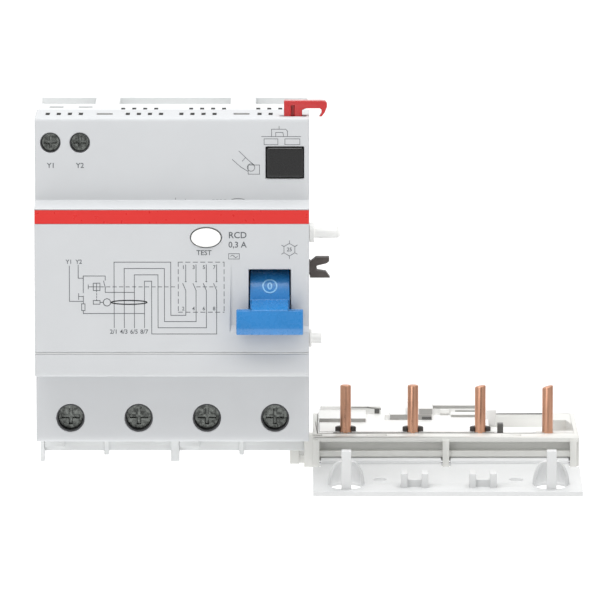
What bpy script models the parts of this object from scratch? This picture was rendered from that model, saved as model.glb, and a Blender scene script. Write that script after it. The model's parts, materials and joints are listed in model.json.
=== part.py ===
"""Four-pole residual current device with its slide-down pin tray, as separate parts.

Run with: blender --background --python part.py
Sizes are written in millimetres and the scene is built in metres.
X is to the device's right, Y runs from the front to the rail, Z is up.
The origin is the middle of the face that sits on the mounting rail.
"""

import math

import bmesh
import bpy
from mathutils import Matrix, Vector

SCALE = 0.001

# Sizes that drive the whole device, in millimetres.
module_width = 17.5
poles = 4
body_depth = 69.0
rail_slot_depth = 5.5
rail_half = 17.75
nose_half = 21.75
upper_deck_step = 6.0
lower_deck_step = 10.0
seam_step = 23.0
top_height = 44.4
bottom_height = 40.15
skirt_drop = 5.75
wall = 1.8
play = 0.3
seat_play = 0.05

# Toggle and its window.
toggle_radius = 9.0
toggle_width = 10.15
toggle_inset = 10.05
toggle_height = -3.0
toggle_bar_width = 17.0
toggle_travel = 34.0
shaft_radius = 1.5

# Buttons, pegs and hook.
test_half = (3.8, 2.4)
test_place = (8.7, 14.2)
test_travel = 1.6
lock_size = (9.4, 7.8)
lock_inset = 6.2
lock_height = 32.7
lock_travel = 2.5
fork_radius = 2.75
fork_inset = (18.5, 4.2)
peg_upper_inset = (15.0, 13.6)
peg_lower_inset = (15.0, -13.8)

# Terminals.
screw_head_radius = 3.2
screw_radius = 2.0
screw_drop = 33.8
clamp_travel = 2.8
wire_gap = 5.4
pilot_head_radius = 2.3
pilot_radius = 1.1
pilot_places = (4.0, 11.5)
pilot_height = 37.8
pilot_slot_step = 9.0

# Current sensor and relay inside.
core_radius = 15.0
core_bore = 9.0
core_height = 14.0
bar_radius = 1.3

# Pin tray.
tray_gap = 1.0
tray_length = 69.0
tray_front_step = 4.0
tray_back = 4.8
tray_top = -41.6
tray_bottom = -49.6
tray_wall = 1.2
pin_radius = 1.4
pin_inset = 8.5
pin_top = -29.1
cover_span = 46.0

# Folding screw cover on the tray.
hinge_inset = (1.0, 1.3)
hinge_rod_radius = 0.7
knuckle_radius = 1.3
flap_length = 29.6
flap_thickness = 1.2
flap_drop = 0.7
flap_tilt = 5.3
bell_radius = 4.3
bell_height = 6.4

# Values that follow from the ones above.
half_width = module_width * poles / 2
nose_y = rail_slot_depth - body_depth
upper_y = nose_y + upper_deck_step
lower_y = nose_y + lower_deck_step
seam_y = nose_y + seam_step
fork_place = (nose_y + fork_inset[0], fork_inset[1])
peg_upper = (nose_y + peg_upper_inset[0], peg_upper_inset[1])
peg_lower = (nose_y + peg_lower_inset[0], peg_lower_inset[1])
pilot_slot_y = seam_y + pilot_slot_step
tray_front = seam_y + tray_front_step
pin_back = tray_front + pin_inset
hinge_place = (tray_front + hinge_inset[0], tray_bottom + hinge_inset[1])
base_half = half_width - 0.4
base_top = top_height - 0.4
base_low = -(bottom_height - 0.4)
pole_x = [module_width * (n + 0.5) - half_width for n in range(poles)]
tray_x0 = half_width + tray_gap
tray_x1 = tray_x0 + tray_length
pin_x = [tray_x0 + 8.5 + (tray_length - 16.5) / 3 * n for n in range(4)]
toggle_x = half_width - toggle_inset
toggle_y = nose_y + toggle_radius + 0.5

for old in list(bpy.data.objects):
    bpy.data.objects.remove(old, do_unlink=True)


def new_collection(name):
    """A collection under the scene."""
    made = bpy.data.collections.new(name)
    bpy.context.scene.collection.children.link(made)
    return made


parts = new_collection("residual_current_device")
cutters = new_collection("cutters")


def plastic(name, colour, roughness=0.4, metallic=0.0, alpha=1.0):
    """A Principled material with the given linear colour."""
    made = bpy.data.materials.new(name)
    made.use_nodes = True
    shader = made.node_tree.nodes["Principled BSDF"]
    shader.inputs["Base Color"].default_value = (*colour, 1.0)
    shader.inputs["Roughness"].default_value = roughness
    shader.inputs["Metallic"].default_value = metallic
    shader.inputs["Alpha"].default_value = alpha
    made.diffuse_color = (*colour, alpha)
    return made


def link(name, mesh, place=(0.0, 0.0, 0.0)):
    """An object for a mesh, put in the parts collection."""
    made = bpy.data.objects.new(name, mesh)
    made.location = Vector(place) * SCALE
    parts.objects.link(made)
    return made


def mesh_of(name, shape):
    """A mesh from a bmesh whose sizes are in millimetres."""
    bmesh.ops.recalc_face_normals(shape, faces=shape.faces)
    bmesh.ops.scale(shape, vec=(SCALE, SCALE, SCALE), verts=shape.verts)
    made = bpy.data.meshes.new(name)
    shape.to_mesh(made)
    shape.free()
    return made


def add_box(shape, x, y, z):
    """A box between two limits on each axis."""
    size = Vector((x[1] - x[0], y[1] - y[0], z[1] - z[0]))
    middle = Vector((x[0] + x[1], y[0] + y[1], z[0] + z[1])) / 2
    bmesh.ops.create_cube(shape, size=1.0, matrix=Matrix.Translation(middle) @ Matrix.Diagonal((*size, 1.0)))


TURNS = {
    "X": Matrix.Rotation(math.pi / 2, 4, "Y"),
    "Y": Matrix.Rotation(-math.pi / 2, 4, "X"),
    "Z": Matrix.Identity(4),
}


def add_rod(shape, axis, at, low, high, radius, tip=None, sides=32, squash=(1.0, 1.0)):
    """A round bar or cone along an axis; at is its place across the axis."""
    first, second = at
    middle = (low + high) / 2
    centre = {
        "X": (middle, first, second),
        "Y": (first, middle, second),
        "Z": (first, second, middle),
    }[axis]
    stretch = {
        "X": (1.0, squash[0], squash[1], 1.0),
        "Y": (squash[0], 1.0, squash[1], 1.0),
        "Z": (squash[0], squash[1], 1.0, 1.0),
    }[axis]
    bmesh.ops.create_cone(
        shape,
        cap_ends=True,
        segments=sides,
        radius1=radius,
        radius2=radius if tip is None else tip,
        depth=high - low,
        matrix=Matrix.Translation(centre) @ Matrix.Diagonal(stretch) @ TURNS[axis],
    )


def rounded(corners, steps=4):
    """The corners of a profile with each third value used as a fillet radius."""
    points = []
    for index, (a, b, radius) in enumerate(corners):
        here = Vector((a, b))
        if radius <= 0:
            points.append(here)
            continue
        before = Vector(corners[index - 1][:2]) - here
        after = Vector(corners[(index + 1) % len(corners)][:2]) - here
        half = before.angle(after) / 2
        reach = min(radius / math.tan(half), before.length * 0.49, after.length * 0.49)
        start = here + before.normalized() * reach
        end = here + after.normalized() * reach
        for step in range(steps + 1):
            t = step / steps
            points.append(start * (1 - t) ** 2 + here * 2 * t * (1 - t) + end * t * t)
    return points


def add_prism(shape, axis, points, low, high):
    """A profile pushed along an axis; X takes (y, z), Y takes (x, z), Z takes (x, y)."""
    def place(a, b, along):
        return {"X": (along, a, b), "Y": (a, along, b), "Z": (a, b, along)}[axis]

    near = [shape.verts.new(place(a, b, low)) for a, b in points]
    far = [shape.verts.new(place(a, b, high)) for a, b in points]
    shape.faces.new(near)
    shape.faces.new(far)
    for index in range(len(points)):
        after = (index + 1) % len(points)
        shape.faces.new((near[index], near[after], far[after], far[index]))


def solid(name, build, place=(0.0, 0.0, 0.0)):
    """An object whose shape is made by a function that fills a bmesh."""
    shape = bmesh.new()
    build(shape)
    return link(name, mesh_of(name, shape), place)


def combine(target, name, build, how):
    """Adds to or cuts from a part with one Boolean tool kept in the cutters collection."""
    tool = solid(name, build, target.location / SCALE)
    parts.objects.unlink(tool)
    cutters.objects.link(tool)
    tool.hide_render = True
    tool.display_type = "WIRE"
    change = target.modifiers.new(name, "BOOLEAN")
    change.operation = how
    change.solver = "EXACT"
    change.object = tool
    return tool


def add(target, name, build):
    return combine(target, name, build, "UNION")


def cut(target, name, build):
    return combine(target, name, build, "DIFFERENCE")


def boxes(*limits):
    """A builder for several separate boxes in one tool."""
    def build(shape):
        for x, y, z in limits:
            add_box(shape, x, y, z)
    return build


def rod(axis, at, low, high, radius, **more):
    return lambda shape: add_rod(shape, axis, at, low, high, radius, **more)


def prism(axis, points, low, high):
    return lambda shape: add_prism(shape, axis, points, low, high)


def wire_path(name, points, radius, sides=12):
    """A round wire along straight runs, as a mesh made from a curve."""
    curve = bpy.data.curves.new(name, "CURVE")
    curve.dimensions = "3D"
    curve.bevel_depth = radius * SCALE
    curve.bevel_resolution = sides // 4 - 1
    curve.use_fill_caps = True
    line = curve.splines.new("POLY")
    line.points.add(len(points) - 1)
    for point, spot in zip(line.points, points):
        point.co = (*(Vector(spot) * SCALE), 1.0)
    source = bpy.data.objects.new(name + "_line", curve)
    cutters.objects.link(source)
    shown = source.evaluated_get(bpy.context.evaluated_depsgraph_get())
    made = bpy.data.meshes.new_from_object(shown)
    made.name = name
    bpy.data.objects.remove(source, do_unlink=True)
    bpy.data.curves.remove(curve)
    shape = bmesh.new()
    shape.from_mesh(made)
    bmesh.ops.remove_doubles(shape, verts=shape.verts, dist=0.000001)
    bmesh.ops.recalc_face_normals(shape, faces=shape.faces)
    shape.to_mesh(made)
    shape.free()
    return link(name, made)


def coil(name, axis, at, low, high, radius, thickness, turns):
    """A compression spring along an axis, swept along a helix."""
    count = turns * 10
    points = []
    for step in range(count + 1):
        angle = 2 * math.pi * step / 10
        along = low + thickness + (high - low - 2 * thickness) * step / count
        across = (at[0] + radius * math.cos(angle), at[1] + radius * math.sin(angle))
        spot = {"X": (along, *across), "Y": (across[0], along, across[1]), "Z": (*across, along)}[axis]
        points.append(spot)
    return wire_path(name, points, thickness, sides=8)


# Front cover: a hollow shell, open at the seam, with the nose and both terminal decks.
cover_outline = rounded([
    (seam_y, top_height, 0),
    (upper_y, top_height, 1.4),
    (upper_y, nose_half + 1.1, 0.6),
    (nose_y, nose_half, 1.0),
    (nose_y, -nose_half, 1.2),
    (lower_y, -nose_half, 0.4),
    (lower_y, -bottom_height, 1.6),
    (seam_y, -bottom_height, 0),
])
front_cover = solid("front_cover", prism("X", cover_outline, -half_width, half_width))
inner = half_width - wall
cover_hollow = [
    (seam_y + 1.0, top_height - wall),
    (upper_y + wall, top_height - wall),
    (upper_y + wall, nose_half - wall),
    (nose_y + wall, nose_half - wall),
    (nose_y + wall, -nose_half + wall),
    (lower_y + wall, -nose_half + wall),
    (lower_y + wall, -bottom_height + wall),
    (seam_y + 1.0, -bottom_height + wall),
]
cut(front_cover, "cover_hollow", prism("X", cover_hollow, -inner, inner))

# Bearing ribs either side of the toggle, and screw wells behind the decks.
bearing = (
    (toggle_x - toggle_width / 2 - play - 1.4, toggle_x - toggle_width / 2 - play),
    (toggle_x + toggle_width / 2 + play, toggle_x + toggle_width / 2 + play + 1.4),
)
bearing_span = (toggle_height - toggle_radius, toggle_height + toggle_radius)
add(front_cover, "toggle_bearings", boxes(
    (bearing[0], (nose_y + 1.0, toggle_y + 4.0), bearing_span),
    (bearing[1], (nose_y + 1.0, toggle_y + 4.0), bearing_span),
))


def terminal_wells(shape):
    for x in pole_x:
        add_rod(shape, "Y", (x, -screw_drop), lower_y + 1.0, lower_y + 4.9, screw_head_radius + 1.4)


def terminal_holes(shape):
    for x in pole_x:
        add_rod(shape, "Y", (x, -screw_drop), lower_y - 1.0, lower_y + 6.0, screw_head_radius + 0.425)


def pilot_holes(shape):
    for inset in pilot_places:
        x = inset - half_width
        add_rod(shape, "Y", (x, pilot_height), upper_y - 1.0, upper_y + 3.6, pilot_head_radius + 0.3, sides=24)


add(front_cover, "terminal_wells", terminal_wells)
cut(front_cover, "terminal_holes", terminal_holes)
cut(front_cover, "pilot_holes", pilot_holes)

window_half = toggle_width / 2 + play
cut(front_cover, "toggle_window", boxes((
    (toggle_x - window_half, toggle_x + window_half),
    (nose_y - 1.0, nose_y + wall + 0.2),
    (toggle_height - 6.4, toggle_height + toggle_radius),
)))
cut(front_cover, "toggle_shaft_bore", rod(
    "X", (toggle_y, toggle_height), bearing[0][0] - 0.5, bearing[1][1] - 0.6, shaft_radius + seat_play, sides=24,
))
cut(front_cover, "test_hole", rod(
    "Y", test_place, nose_y - 1.0, nose_y + wall + 0.5, 1.0,
    squash=(test_half[0] + 0.25, test_half[1] + 0.25),
))
lock_x = half_width - lock_inset
lock_hole = (lock_size[0] / 2 + 0.2, lock_size[1] / 2 + 0.2)
cut(front_cover, "lock_hole", boxes((
    (lock_x - lock_hole[0], lock_x + lock_hole[0]),
    (upper_y - 1.0, upper_y + 7.0),
    (lock_height - lock_hole[1], lock_height + lock_hole[1]),
)))
finger_recess = [
    (nose_y - 1.0, toggle_height + toggle_radius + 2.4),
    (nose_y, toggle_height + toggle_radius + 2.4),
    (nose_y + 1.0, toggle_height - 5.6),
    (nose_y, toggle_height - 7.2),
    (nose_y - 1.0, toggle_height - 7.2),
]
cut(front_cover, "finger_recess", prism("X", finger_recess, toggle_x - toggle_width / 2 - 5.0, half_width + 1.0))
line_z = -nose_half + 6.0
cut(front_cover, "nose_line", boxes((
    (-half_width - 1.0, half_width + 1.0), (nose_y - 1.0, nose_y + 0.25), (line_z, line_z + 0.35),
)))
stripe_span = (nose_half - 4.1, nose_half - 0.5)
stripe_depth = 0.5
cut(front_cover, "stripe_groove", boxes((
    (-half_width - 1.0, half_width + 1.0),
    (nose_y - 1.0, nose_y + stripe_depth),
    stripe_span,
)))

# Vent slots in the top, in groups over the poles, and snap windows near the front.
vent_pitch = 2.83
front_vents = (3.1, 23.6, 37.3, 57.3)
front_counts = (4, 4, 4, 2)


def front_vent_slots(shape):
    for start, count in zip(front_vents, front_counts):
        for step in range(count):
            x = start + vent_pitch * step - half_width
            add_box(shape, (x - 0.5, x + 0.5), (upper_y + 4.6, upper_y + 10.4), (top_height - 3.0, top_height + 1.0))


cut(front_cover, "front_vents", front_vent_slots)
cut(front_cover, "snap_windows", boxes(
    ((-module_width - 1.8, -module_width + 2.2), (upper_y + 5.4, upper_y + 9.8), (top_height - 3.0, top_height + 1.0)),
    ((module_width - 1.8, module_width + 2.2), (upper_y + 5.4, upper_y + 9.8), (top_height - 3.0, top_height + 1.0)),
))
hook_x = half_width - 4.1
hook_y = upper_y + 3.2
hook_z = top_height - 0.6
hook_half = 1.5
cut(front_cover, "hook_slot", boxes((
    (hook_x - 3.4, hook_x + 3.3),
    (hook_y - hook_half - play, hook_y + hook_half + play),
    (top_height - 4.2, top_height + 1.0),
)))
cut(front_cover, "hook_pin_bore", rod(
    "Y", (hook_x, hook_z - 1.0), upper_y + 0.9, hook_y + hook_half + 1.6, 0.75 + seat_play, sides=16,
))
cut(front_cover, "fork_bore", rod("X", fork_place, inner - 1.0, half_width + 1.0, 2.0 + 0.1, sides=24))
cut(front_cover, "upper_peg_bore", rod("X", peg_upper, inner - 1.0, half_width + 1.0, 1.5 + seat_play, sides=20))
cut(front_cover, "lower_peg_bore", rod("X", peg_lower, inner - 1.0, half_width + 1.0, 1.3 + seat_play, sides=20))

# Rear base: a hollow shell, open at the seam, with the rail slot behind it.
back_y = rail_slot_depth
slot_floor = -0.4
base_outline = rounded([
    (seam_y + seat_play, base_top, 0),
    (-3.0, base_top, 0),
    (back_y, base_top - 2.0, 0),
    (back_y, rail_half, 0),
    (slot_floor, rail_half, 0),
    (slot_floor, -rail_half, 0),
    (back_y, -rail_half, 0),
    (back_y, base_low, 0),
    (seam_y + seat_play, base_low, 0),
])
rear_base = solid("rear_base", prism("X", base_outline, -base_half, base_half))
base_inner = base_half - wall
cut(rear_base, "base_hollow", boxes((
    (-base_inner, base_inner),
    (seam_y - 1.0, slot_floor - wall),
    (base_low + wall, base_top - wall),
)))
skirt_y = seam_y + 7.0
skirt_low = base_low - skirt_drop
add(rear_base, "skirt_front", boxes((
    (-base_half, base_half), (skirt_y, skirt_y + 1.8), (skirt_low, base_low + 1.0),
)))
add(rear_base, "skirt_left", boxes((
    (-base_half, -base_half + 1.6), (skirt_y + 1.0, 2.0), (skirt_low + 0.4, base_low + 1.0),
)))
add(rear_base, "skirt_prongs", boxes(
    ((-base_half, -base_half + 1.1), (skirt_y - 1.6, skirt_y + 1.0), (skirt_low - 2.6, base_low + 0.6)),
    ((-0.8, 1.4), (skirt_y - 1.6, skirt_y + 1.0), (skirt_low - 2.6, base_low + 0.6)),
    ((-module_width - 0.6, -module_width + 0.6), (skirt_y - 0.8, skirt_y + 1.0), (skirt_low - 1.0, base_low + 0.6)),
    ((module_width - 0.6, module_width + 0.6), (skirt_y - 0.8, skirt_y + 1.0), (skirt_low - 1.0, base_low + 0.6)),
))
add(rear_base, "skirt_flanges", boxes(
    ((-base_half + 0.9, -base_half + 6.1), (skirt_y - 1.5, skirt_y + 1.0), (skirt_low + 1.1, base_low + 0.6)),
    ((1.2, 6.4), (skirt_y - 1.5, skirt_y + 1.0), (skirt_low + 1.1, base_low + 0.6)),
))
add(rear_base, "rail_seat_pad", boxes((
    (-base_half + 1.0, base_half - 1.0), (slot_floor - 0.5, 0.0), (-rail_half + 2.3, rail_half - 2.3),
)))
add(rear_base, "rail_lip", boxes((
    (-base_half + 3.0, base_half - 3.0), (1.6, 3.4), (rail_half - 1.3, rail_half + 0.8),
)))

# Channel for the tray's guide blade, and the slots that open the base to the world.
blade_x = (base_inner - 2.8, base_inner - 0.4)
blade_y = (seam_y + 10.5, seam_y + 20.5)
blade_top = -12.0
add(rear_base, "blade_guides", boxes(
    ((blade_x[0] - 3.0, base_inner + 0.8), (blade_y[0] - play - 1.3, blade_y[0] - play), (base_low + 0.8, blade_top - 2.0)),
    ((blade_x[0] - 3.0, base_inner + 0.8), (blade_y[1] + play, blade_y[1] + play + 1.3), (base_low + 0.8, blade_top - 2.0)),
))
cut(rear_base, "blade_slot", boxes((
    (blade_x[0] - play, base_half + 1.0),
    (blade_y[0] - play, blade_y[1] + play),
    (base_low - 0.6, base_low + wall + 0.2),
)))


def wire_ports(shape):
    for x in pole_x:
        add_box(
            shape,
            (x - 3.7, x + 3.7),
            (seam_y - 0.5, seam_y + 6.2),
            (base_low - 0.4, base_low + wall + 0.5),
        )


def pilot_slots(shape):
    for inset in pilot_places:
        x = inset - half_width + 0.8
        add_box(shape, (x - 1.75, x + 1.75), (pilot_slot_y - 1.7, pilot_slot_y + 1.7), (base_top - wall - 0.5, base_top + 1.0))


def base_vent_slots(shape):
    for start, count in ((22.1, 4), (39.6, 4), (56.9, 3)):
        for step in range(count):
            x = start + vent_pitch * step - half_width
            add_box(shape, (x - 0.5, x + 0.5), (seam_y + 2.0, seam_y + 8.0), (base_top - 3.0, base_top + 1.0))


cut(rear_base, "wire_ports", wire_ports)
cut(rear_base, "pilot_slots", pilot_slots)
cut(rear_base, "base_vents", base_vent_slots)
pocket_y = (nose_y + 38.8, nose_y + 53.4)
pocket_drop = 3.6
pocket_x = (
    (-base_half - 1.0, -base_half + 14.2),
    (-module_width + 3.4, module_width - 2.9),
    (module_width + 3.7, base_half + 1.0),
)
pocket_backing = [
    ((max(low, -base_half + 0.3) - 1.4 * (low > -base_half), min(high, base_half - 0.3) + 1.4 * (high < base_half)),
     (pocket_y[0] - 1.4, pocket_y[1] + 1.4),
     (base_top - pocket_drop - 1.4, base_top - 1.0))
    for low, high in pocket_x
]
add(rear_base, "pocket_backing", boxes(*pocket_backing))
cut(rear_base, "top_pockets", boxes(*[
    (span, pocket_y, (base_top - pocket_drop, base_top + 1.0)) for span in pocket_x
]))

# Rail latches: T-shaped slides in channels cut in the rear block.
latch_x = (-module_width, module_width)
latch_half = 4.7
latch_low = base_low - 4.6


def latch_channels(shape):
    for x in latch_x:
        tee = [
            (x - latch_half - 1.3, 0.5), (x + latch_half + 1.3, 0.5),
            (x + latch_half + 1.3, 2.6), (x + latch_half + play, 2.6),
            (x + latch_half + play, back_y + 1.0), (x - latch_half - play, back_y + 1.0),
            (x - latch_half - play, 2.6), (x - latch_half - 1.3, 2.6),
        ]
        add_prism(shape, "Z", tee, base_low - 8.0, -rail_half + 0.5)


cut(rear_base, "latch_channels", latch_channels)
latches = []
for number, x in enumerate(latch_x, 1):
    tee = [
        (x - latch_half - 1.0, 0.8), (x + latch_half + 1.0, 0.8),
        (x + latch_half + 1.0, 2.3), (x + latch_half, 2.3),
        (x + latch_half, back_y - 0.3), (x - latch_half, back_y - 0.3),
        (x - latch_half, 2.3), (x - latch_half - 1.0, 2.3),
    ]
    latch = solid("rail_latch_%d" % number, prism("Z", tee, latch_low, -rail_half - 1.0))
    add(latch, "latch_tooth_%d" % number, boxes((
        (x - latch_half, x + latch_half), (1.6, 3.4), (-rail_half - 1.5, -rail_half + 1.3),
    )))
    cut(latch, "latch_pull_%d" % number, boxes((
        (x - 2.4, x + 2.4), (-1.0, back_y + 1.0), (latch_low + 1.2, latch_low + 3.0),
    )))
    latches.append(latch)

# Coloured stripe let into the nose.
accent_stripe = solid("accent_stripe", boxes((
    (-half_width + seat_play, half_width - seat_play),
    (nose_y + 0.02, nose_y + stripe_depth - 0.03),
    (stripe_span[0] + seat_play, stripe_span[1] - seat_play),
)))

# Toggle: a barrel on a shaft, with a neck through the window and a wide finger bar.
bar_half = toggle_bar_width / 2
reach = -(toggle_radius + 7.2)
toggle = solid("toggle", rod(
    "X", (0.0, 0.0), -toggle_width / 2, toggle_width / 2, toggle_radius, sides=56,
), (toggle_x, toggle_y, toggle_height))
neck = [(-4.0, 1.6), (-toggle_radius - 0.2, 1.0), (reach + 0.6, -0.6), (reach + 1.2, -6.6), (-8.2, -5.2), (-4.0, -4.4)]
add(toggle, "toggle_neck", prism("X", neck, -toggle_width / 2 + 0.3, toggle_width / 2 - 0.3))
bar = rounded([
    (-toggle_radius - 1.9, -1.0, 0),
    (reach + 0.7, -0.5, 0.6),
    (reach, -5.4, 0.6),
    (reach + 1.2, -7.1, 0.5),
    (reach + 4.8, -6.6, 0.4),
], steps=3)
add(toggle, "toggle_bar", prism("X", bar, -bar_half, bar_half))
cut(toggle, "toggle_bore", rod("X", (0.0, 0.0), -20.0, 20.0, shaft_radius + 0.05, sides=24))
toggle_shaft = solid("toggle_shaft", rod(
    "X", (toggle_y, toggle_height), bearing[0][0] - 0.3, bearing[1][1] - 0.7, shaft_radius, sides=24,
))

# Test button, with its return spring on the chassis plate.
chassis_y = (seam_y - 6.0, seam_y - 4.5)
chassis_span = (toggle_height + toggle_radius + 2.5, pilot_height - pilot_radius - 1.2)
test_button = solid("test_button", rod(
    "Y", (0.0, 0.0), -0.6, 4.0, 1.0, squash=test_half,
), (test_place[0], nose_y, test_place[1]))
add(test_button, "test_flange", rod(
    "Y", (0.0, 0.0), wall + 0.2, wall + 1.6, 1.0, squash=(test_half[0] + 0.9, test_half[1] + 0.9),
))
chassis = solid("chassis", boxes(((-inner + 0.1, inner - 0.1), chassis_y, chassis_span)))
add(chassis, "chassis_posts", boxes(
    ((-8.0, -5.0), (chassis_y[0] - 5.0, chassis_y[0] + 0.5), (24.0, 27.0)),
    ((17.0, 20.0), (chassis_y[0] - 5.0, chassis_y[0] + 0.5), (24.0, 27.0)),
))
test_spring = coil("test_spring", "Y", test_place, nose_y + 4.1, chassis_y[0] - 0.1, 1.7, 0.25, 5)
lock_button = solid("lock_button", boxes((
    (-lock_size[0] / 2, lock_size[0] / 2), (-0.4, 3.0), (-lock_size[1] / 2, lock_size[1] / 2),
)), (lock_x, upper_y, lock_height))
add(lock_button, "lock_stem", rod("Y", (0.0, 0.0), 2.5, 4.6, 1.6, sides=20))
lock_spring = coil("lock_spring", "Y", (lock_x, lock_height), upper_y + 3.1, chassis_y[0] - 0.1, 2.3, 0.25, 4)

# Side coupling: fork, guide pegs and the locking hook on its pin.
trip_fork = solid("trip_fork", rod("X", (0.0, 0.0), -3.6, 0.3, 2.0, sides=24), (half_width, *fork_place))
fork_outline = [
    (0.2, -2.65), (5.4, -2.65), (4.3, -1.1), (2.0, -0.75), (1.9, 0.45), (4.4, 1.05), (5.15, 1.6), (5.15, 2.65),
    (1.75, 2.65), (0.2, 1.35),
]
add(trip_fork, "fork_jaw", prism("Y", fork_outline, -1.7, 1.7))
upper_peg = solid("guide_peg_upper", rod("X", peg_upper, inner + 0.1, half_width + 7.2, 1.5, sides=24))
add(upper_peg, "upper_peg_tip", rod("X", peg_upper, half_width + 7.0, half_width + 7.9, 1.5, tip=1.1, sides=24))
add(upper_peg, "upper_peg_collar", rod("X", peg_upper, half_width + 0.05, half_width + 1.25, 2.6, sides=24))
lower_peg = solid("guide_peg_lower", rod("X", peg_lower, inner + 0.1, half_width + 3.2, 1.3, sides=24))
add(lower_peg, "lower_peg_collar", rod("X", peg_lower, half_width + 0.05, half_width + 0.65, 2.3, sides=24))
hook_outline = [
    (-2.35, -2.0), (2.3, -2.0), (2.3, 3.2), (3.3, 3.6), (6.8, 3.6), (7.2, 3.3), (7.25, 2.4), (6.6, 1.5),
    (7.3, 1.5), (8.1, 2.6), (8.65, 4.0), (8.65, 4.9), (8.2, 5.45), (7.4, 5.55), (-2.35, 5.55),
]
hook_mid = (hook_x, hook_y, hook_z - 1.0)
locking_hook = solid("locking_hook", prism("Y", hook_outline, -hook_half, hook_half), hook_mid)
cut(locking_hook, "hook_bore", rod("Y", (0.0, 0.0), -3.0, 3.0, 0.75 + 0.05, sides=16))
cut(locking_hook, "hook_notch", boxes(((-0.55, 0.35), (-hook_half - 1.0, -hook_half + 1.1), (1.3, 4.4))))
hook_pin = solid("hook_pin", rod(
    "Y", (hook_x, hook_z - 1.0), upper_y + 1.0, hook_y + hook_half + 1.4, 0.75, sides=16,
))

# Main terminals: screw, clamp cage and conductor for each pole.
head_y = lower_y + 2.0
cage_front = lower_y + 8.0
cage_back = seam_y + 6.1
bar_y = seam_y - 0.5
screws = []
cages = []
conductors = []
core_place = (0.0, -20.0)
for number, x in enumerate(pole_x, 1):
    screw = solid("terminal_screw_%d" % number, rod("Y", (0.0, 0.0), 0.0, 2.4, screw_head_radius), (x, head_y, -screw_drop))
    add(screw, "screw_shank_%d" % number, rod("Y", (0.0, 0.0), 2.0, bar_y - bar_radius - 0.2 - head_y, screw_radius, sides=24))
    cut(screw, "screw_cross_%d" % number, boxes(
        ((-2.3, 2.3), (-1.0, 1.2), (-0.45, 0.45)),
    ))
    cut(screw, "screw_cross_up_%d" % number, boxes(
        ((-0.45, 0.45), (-1.0, 1.2), (-2.0, 2.0)),
    ))
    screws.append(screw)
    cage = solid("clamp_cage_%d" % number, boxes((
        (x - 5.2, x + 5.2), (cage_front, cage_back), (-screw_drop - 3.6, -screw_drop + 4.4),
    )))
    cut(cage, "cage_opening_%d" % number, boxes((
        (x - 4.1, x + 4.1), (cage_front + 1.3, cage_back - 1.1), (-screw_drop - 9.0, -screw_drop + 9.0),
    )))
    cut(cage, "cage_thread_%d" % number, rod("Y", (x, -screw_drop), cage_front - 1.0, cage_front + 2.0, screw_radius + 0.12, sides=24))
    cages.append(cage)
    through = core_place[0] + (number - 2.5) * (bar_radius * 2 + 1.2)
    conductors.append(wire_path("conductor_%d" % number, [
        (x, bar_y, -screw_drop - 3.2),
        (x, bar_y, -screw_drop + 6.2),
        (through, core_place[1], -20.0),
        (through, core_place[1], 6.0),
    ], bar_radius))

# Pilot terminals: long thin screws and their clamps under the wire slots.
pilot_screws = []
pilot_clamps = []
for number, inset in enumerate(pilot_places, 1):
    x = inset - half_width
    y = upper_y + 1.4
    screw = solid("pilot_screw_%d" % number, rod("Y", (0.0, 0.0), 0.0, 1.8, pilot_head_radius, sides=24), (x, y, pilot_height))
    add(screw, "pilot_shank_%d" % number, rod("Y", (0.0, 0.0), 1.4, pilot_slot_y - 2.7 - y, pilot_radius, sides=16))
    cut(screw, "pilot_cross_%d" % number, boxes(((-1.6, 1.6), (-1.0, 0.9), (-0.35, 0.35))))
    cut(screw, "pilot_cross_up_%d" % number, boxes(((-0.35, 0.35), (-1.0, 0.9), (-1.4, 1.4))))
    pilot_screws.append(screw)
    middle = x + 0.75
    clamp = solid("pilot_clamp_%d" % number, boxes((
        (middle - 2.4, middle + 2.4), (pilot_slot_y - 4.5, pilot_slot_y + 4.5), (pilot_height - 2.8, pilot_height + 2.8),
    )))
    cut(clamp, "pilot_opening_%d" % number, boxes((
        (middle - 1.95, middle + 1.95), (pilot_slot_y - 3.5, pilot_slot_y + 3.5), (pilot_height - 9.0, pilot_height + 9.0),
    )))
    cut(clamp, "pilot_thread_%d" % number, rod("Y", (x, pilot_height), pilot_slot_y - 5.0, pilot_slot_y - 3.1, pilot_radius + 0.12, sides=16))
    pilot_clamps.append(clamp)

# Current sensor, relay and test circuit inside the shell.
core_z = (-12.0, -12.0 + core_height)
sensor_core = solid("sensor_core", rod("Z", core_place, core_z[0], core_z[1], core_radius, sides=48))
cut(sensor_core, "core_bore", rod("Z", core_place, core_z[0] - 5.0, core_z[1] + 5.0, core_bore, sides=40))


def winding_sector(shape):
    arc = [math.radians(150 + 60 * step / 8) for step in range(9)]
    outer = [(core_place[0] + (core_radius + 1.4) * math.cos(a), core_place[1] + (core_radius + 1.4) * math.sin(a)) for a in arc]
    inside = [(core_place[0] + (core_bore - 1.2) * math.cos(a), core_place[1] + (core_bore - 1.2) * math.sin(a)) for a in reversed(arc)]
    add_prism(shape, "Z", outer + inside, core_z[0] - 1.2, core_z[1] + 1.2)


def winding_hollow(shape):
    arc = [math.radians(140 + 80 * step / 12) for step in range(13)]
    outer = [(core_place[0] + (core_radius + 0.2) * math.cos(a), core_place[1] + (core_radius + 0.2) * math.sin(a)) for a in arc]
    inside = [(core_place[0] + (core_bore - 0.2) * math.cos(a), core_place[1] + (core_bore - 0.2) * math.sin(a)) for a in reversed(arc)]
    add_prism(shape, "Z", outer + inside, core_z[0] - 0.1, core_z[1] + 0.1)


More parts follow.
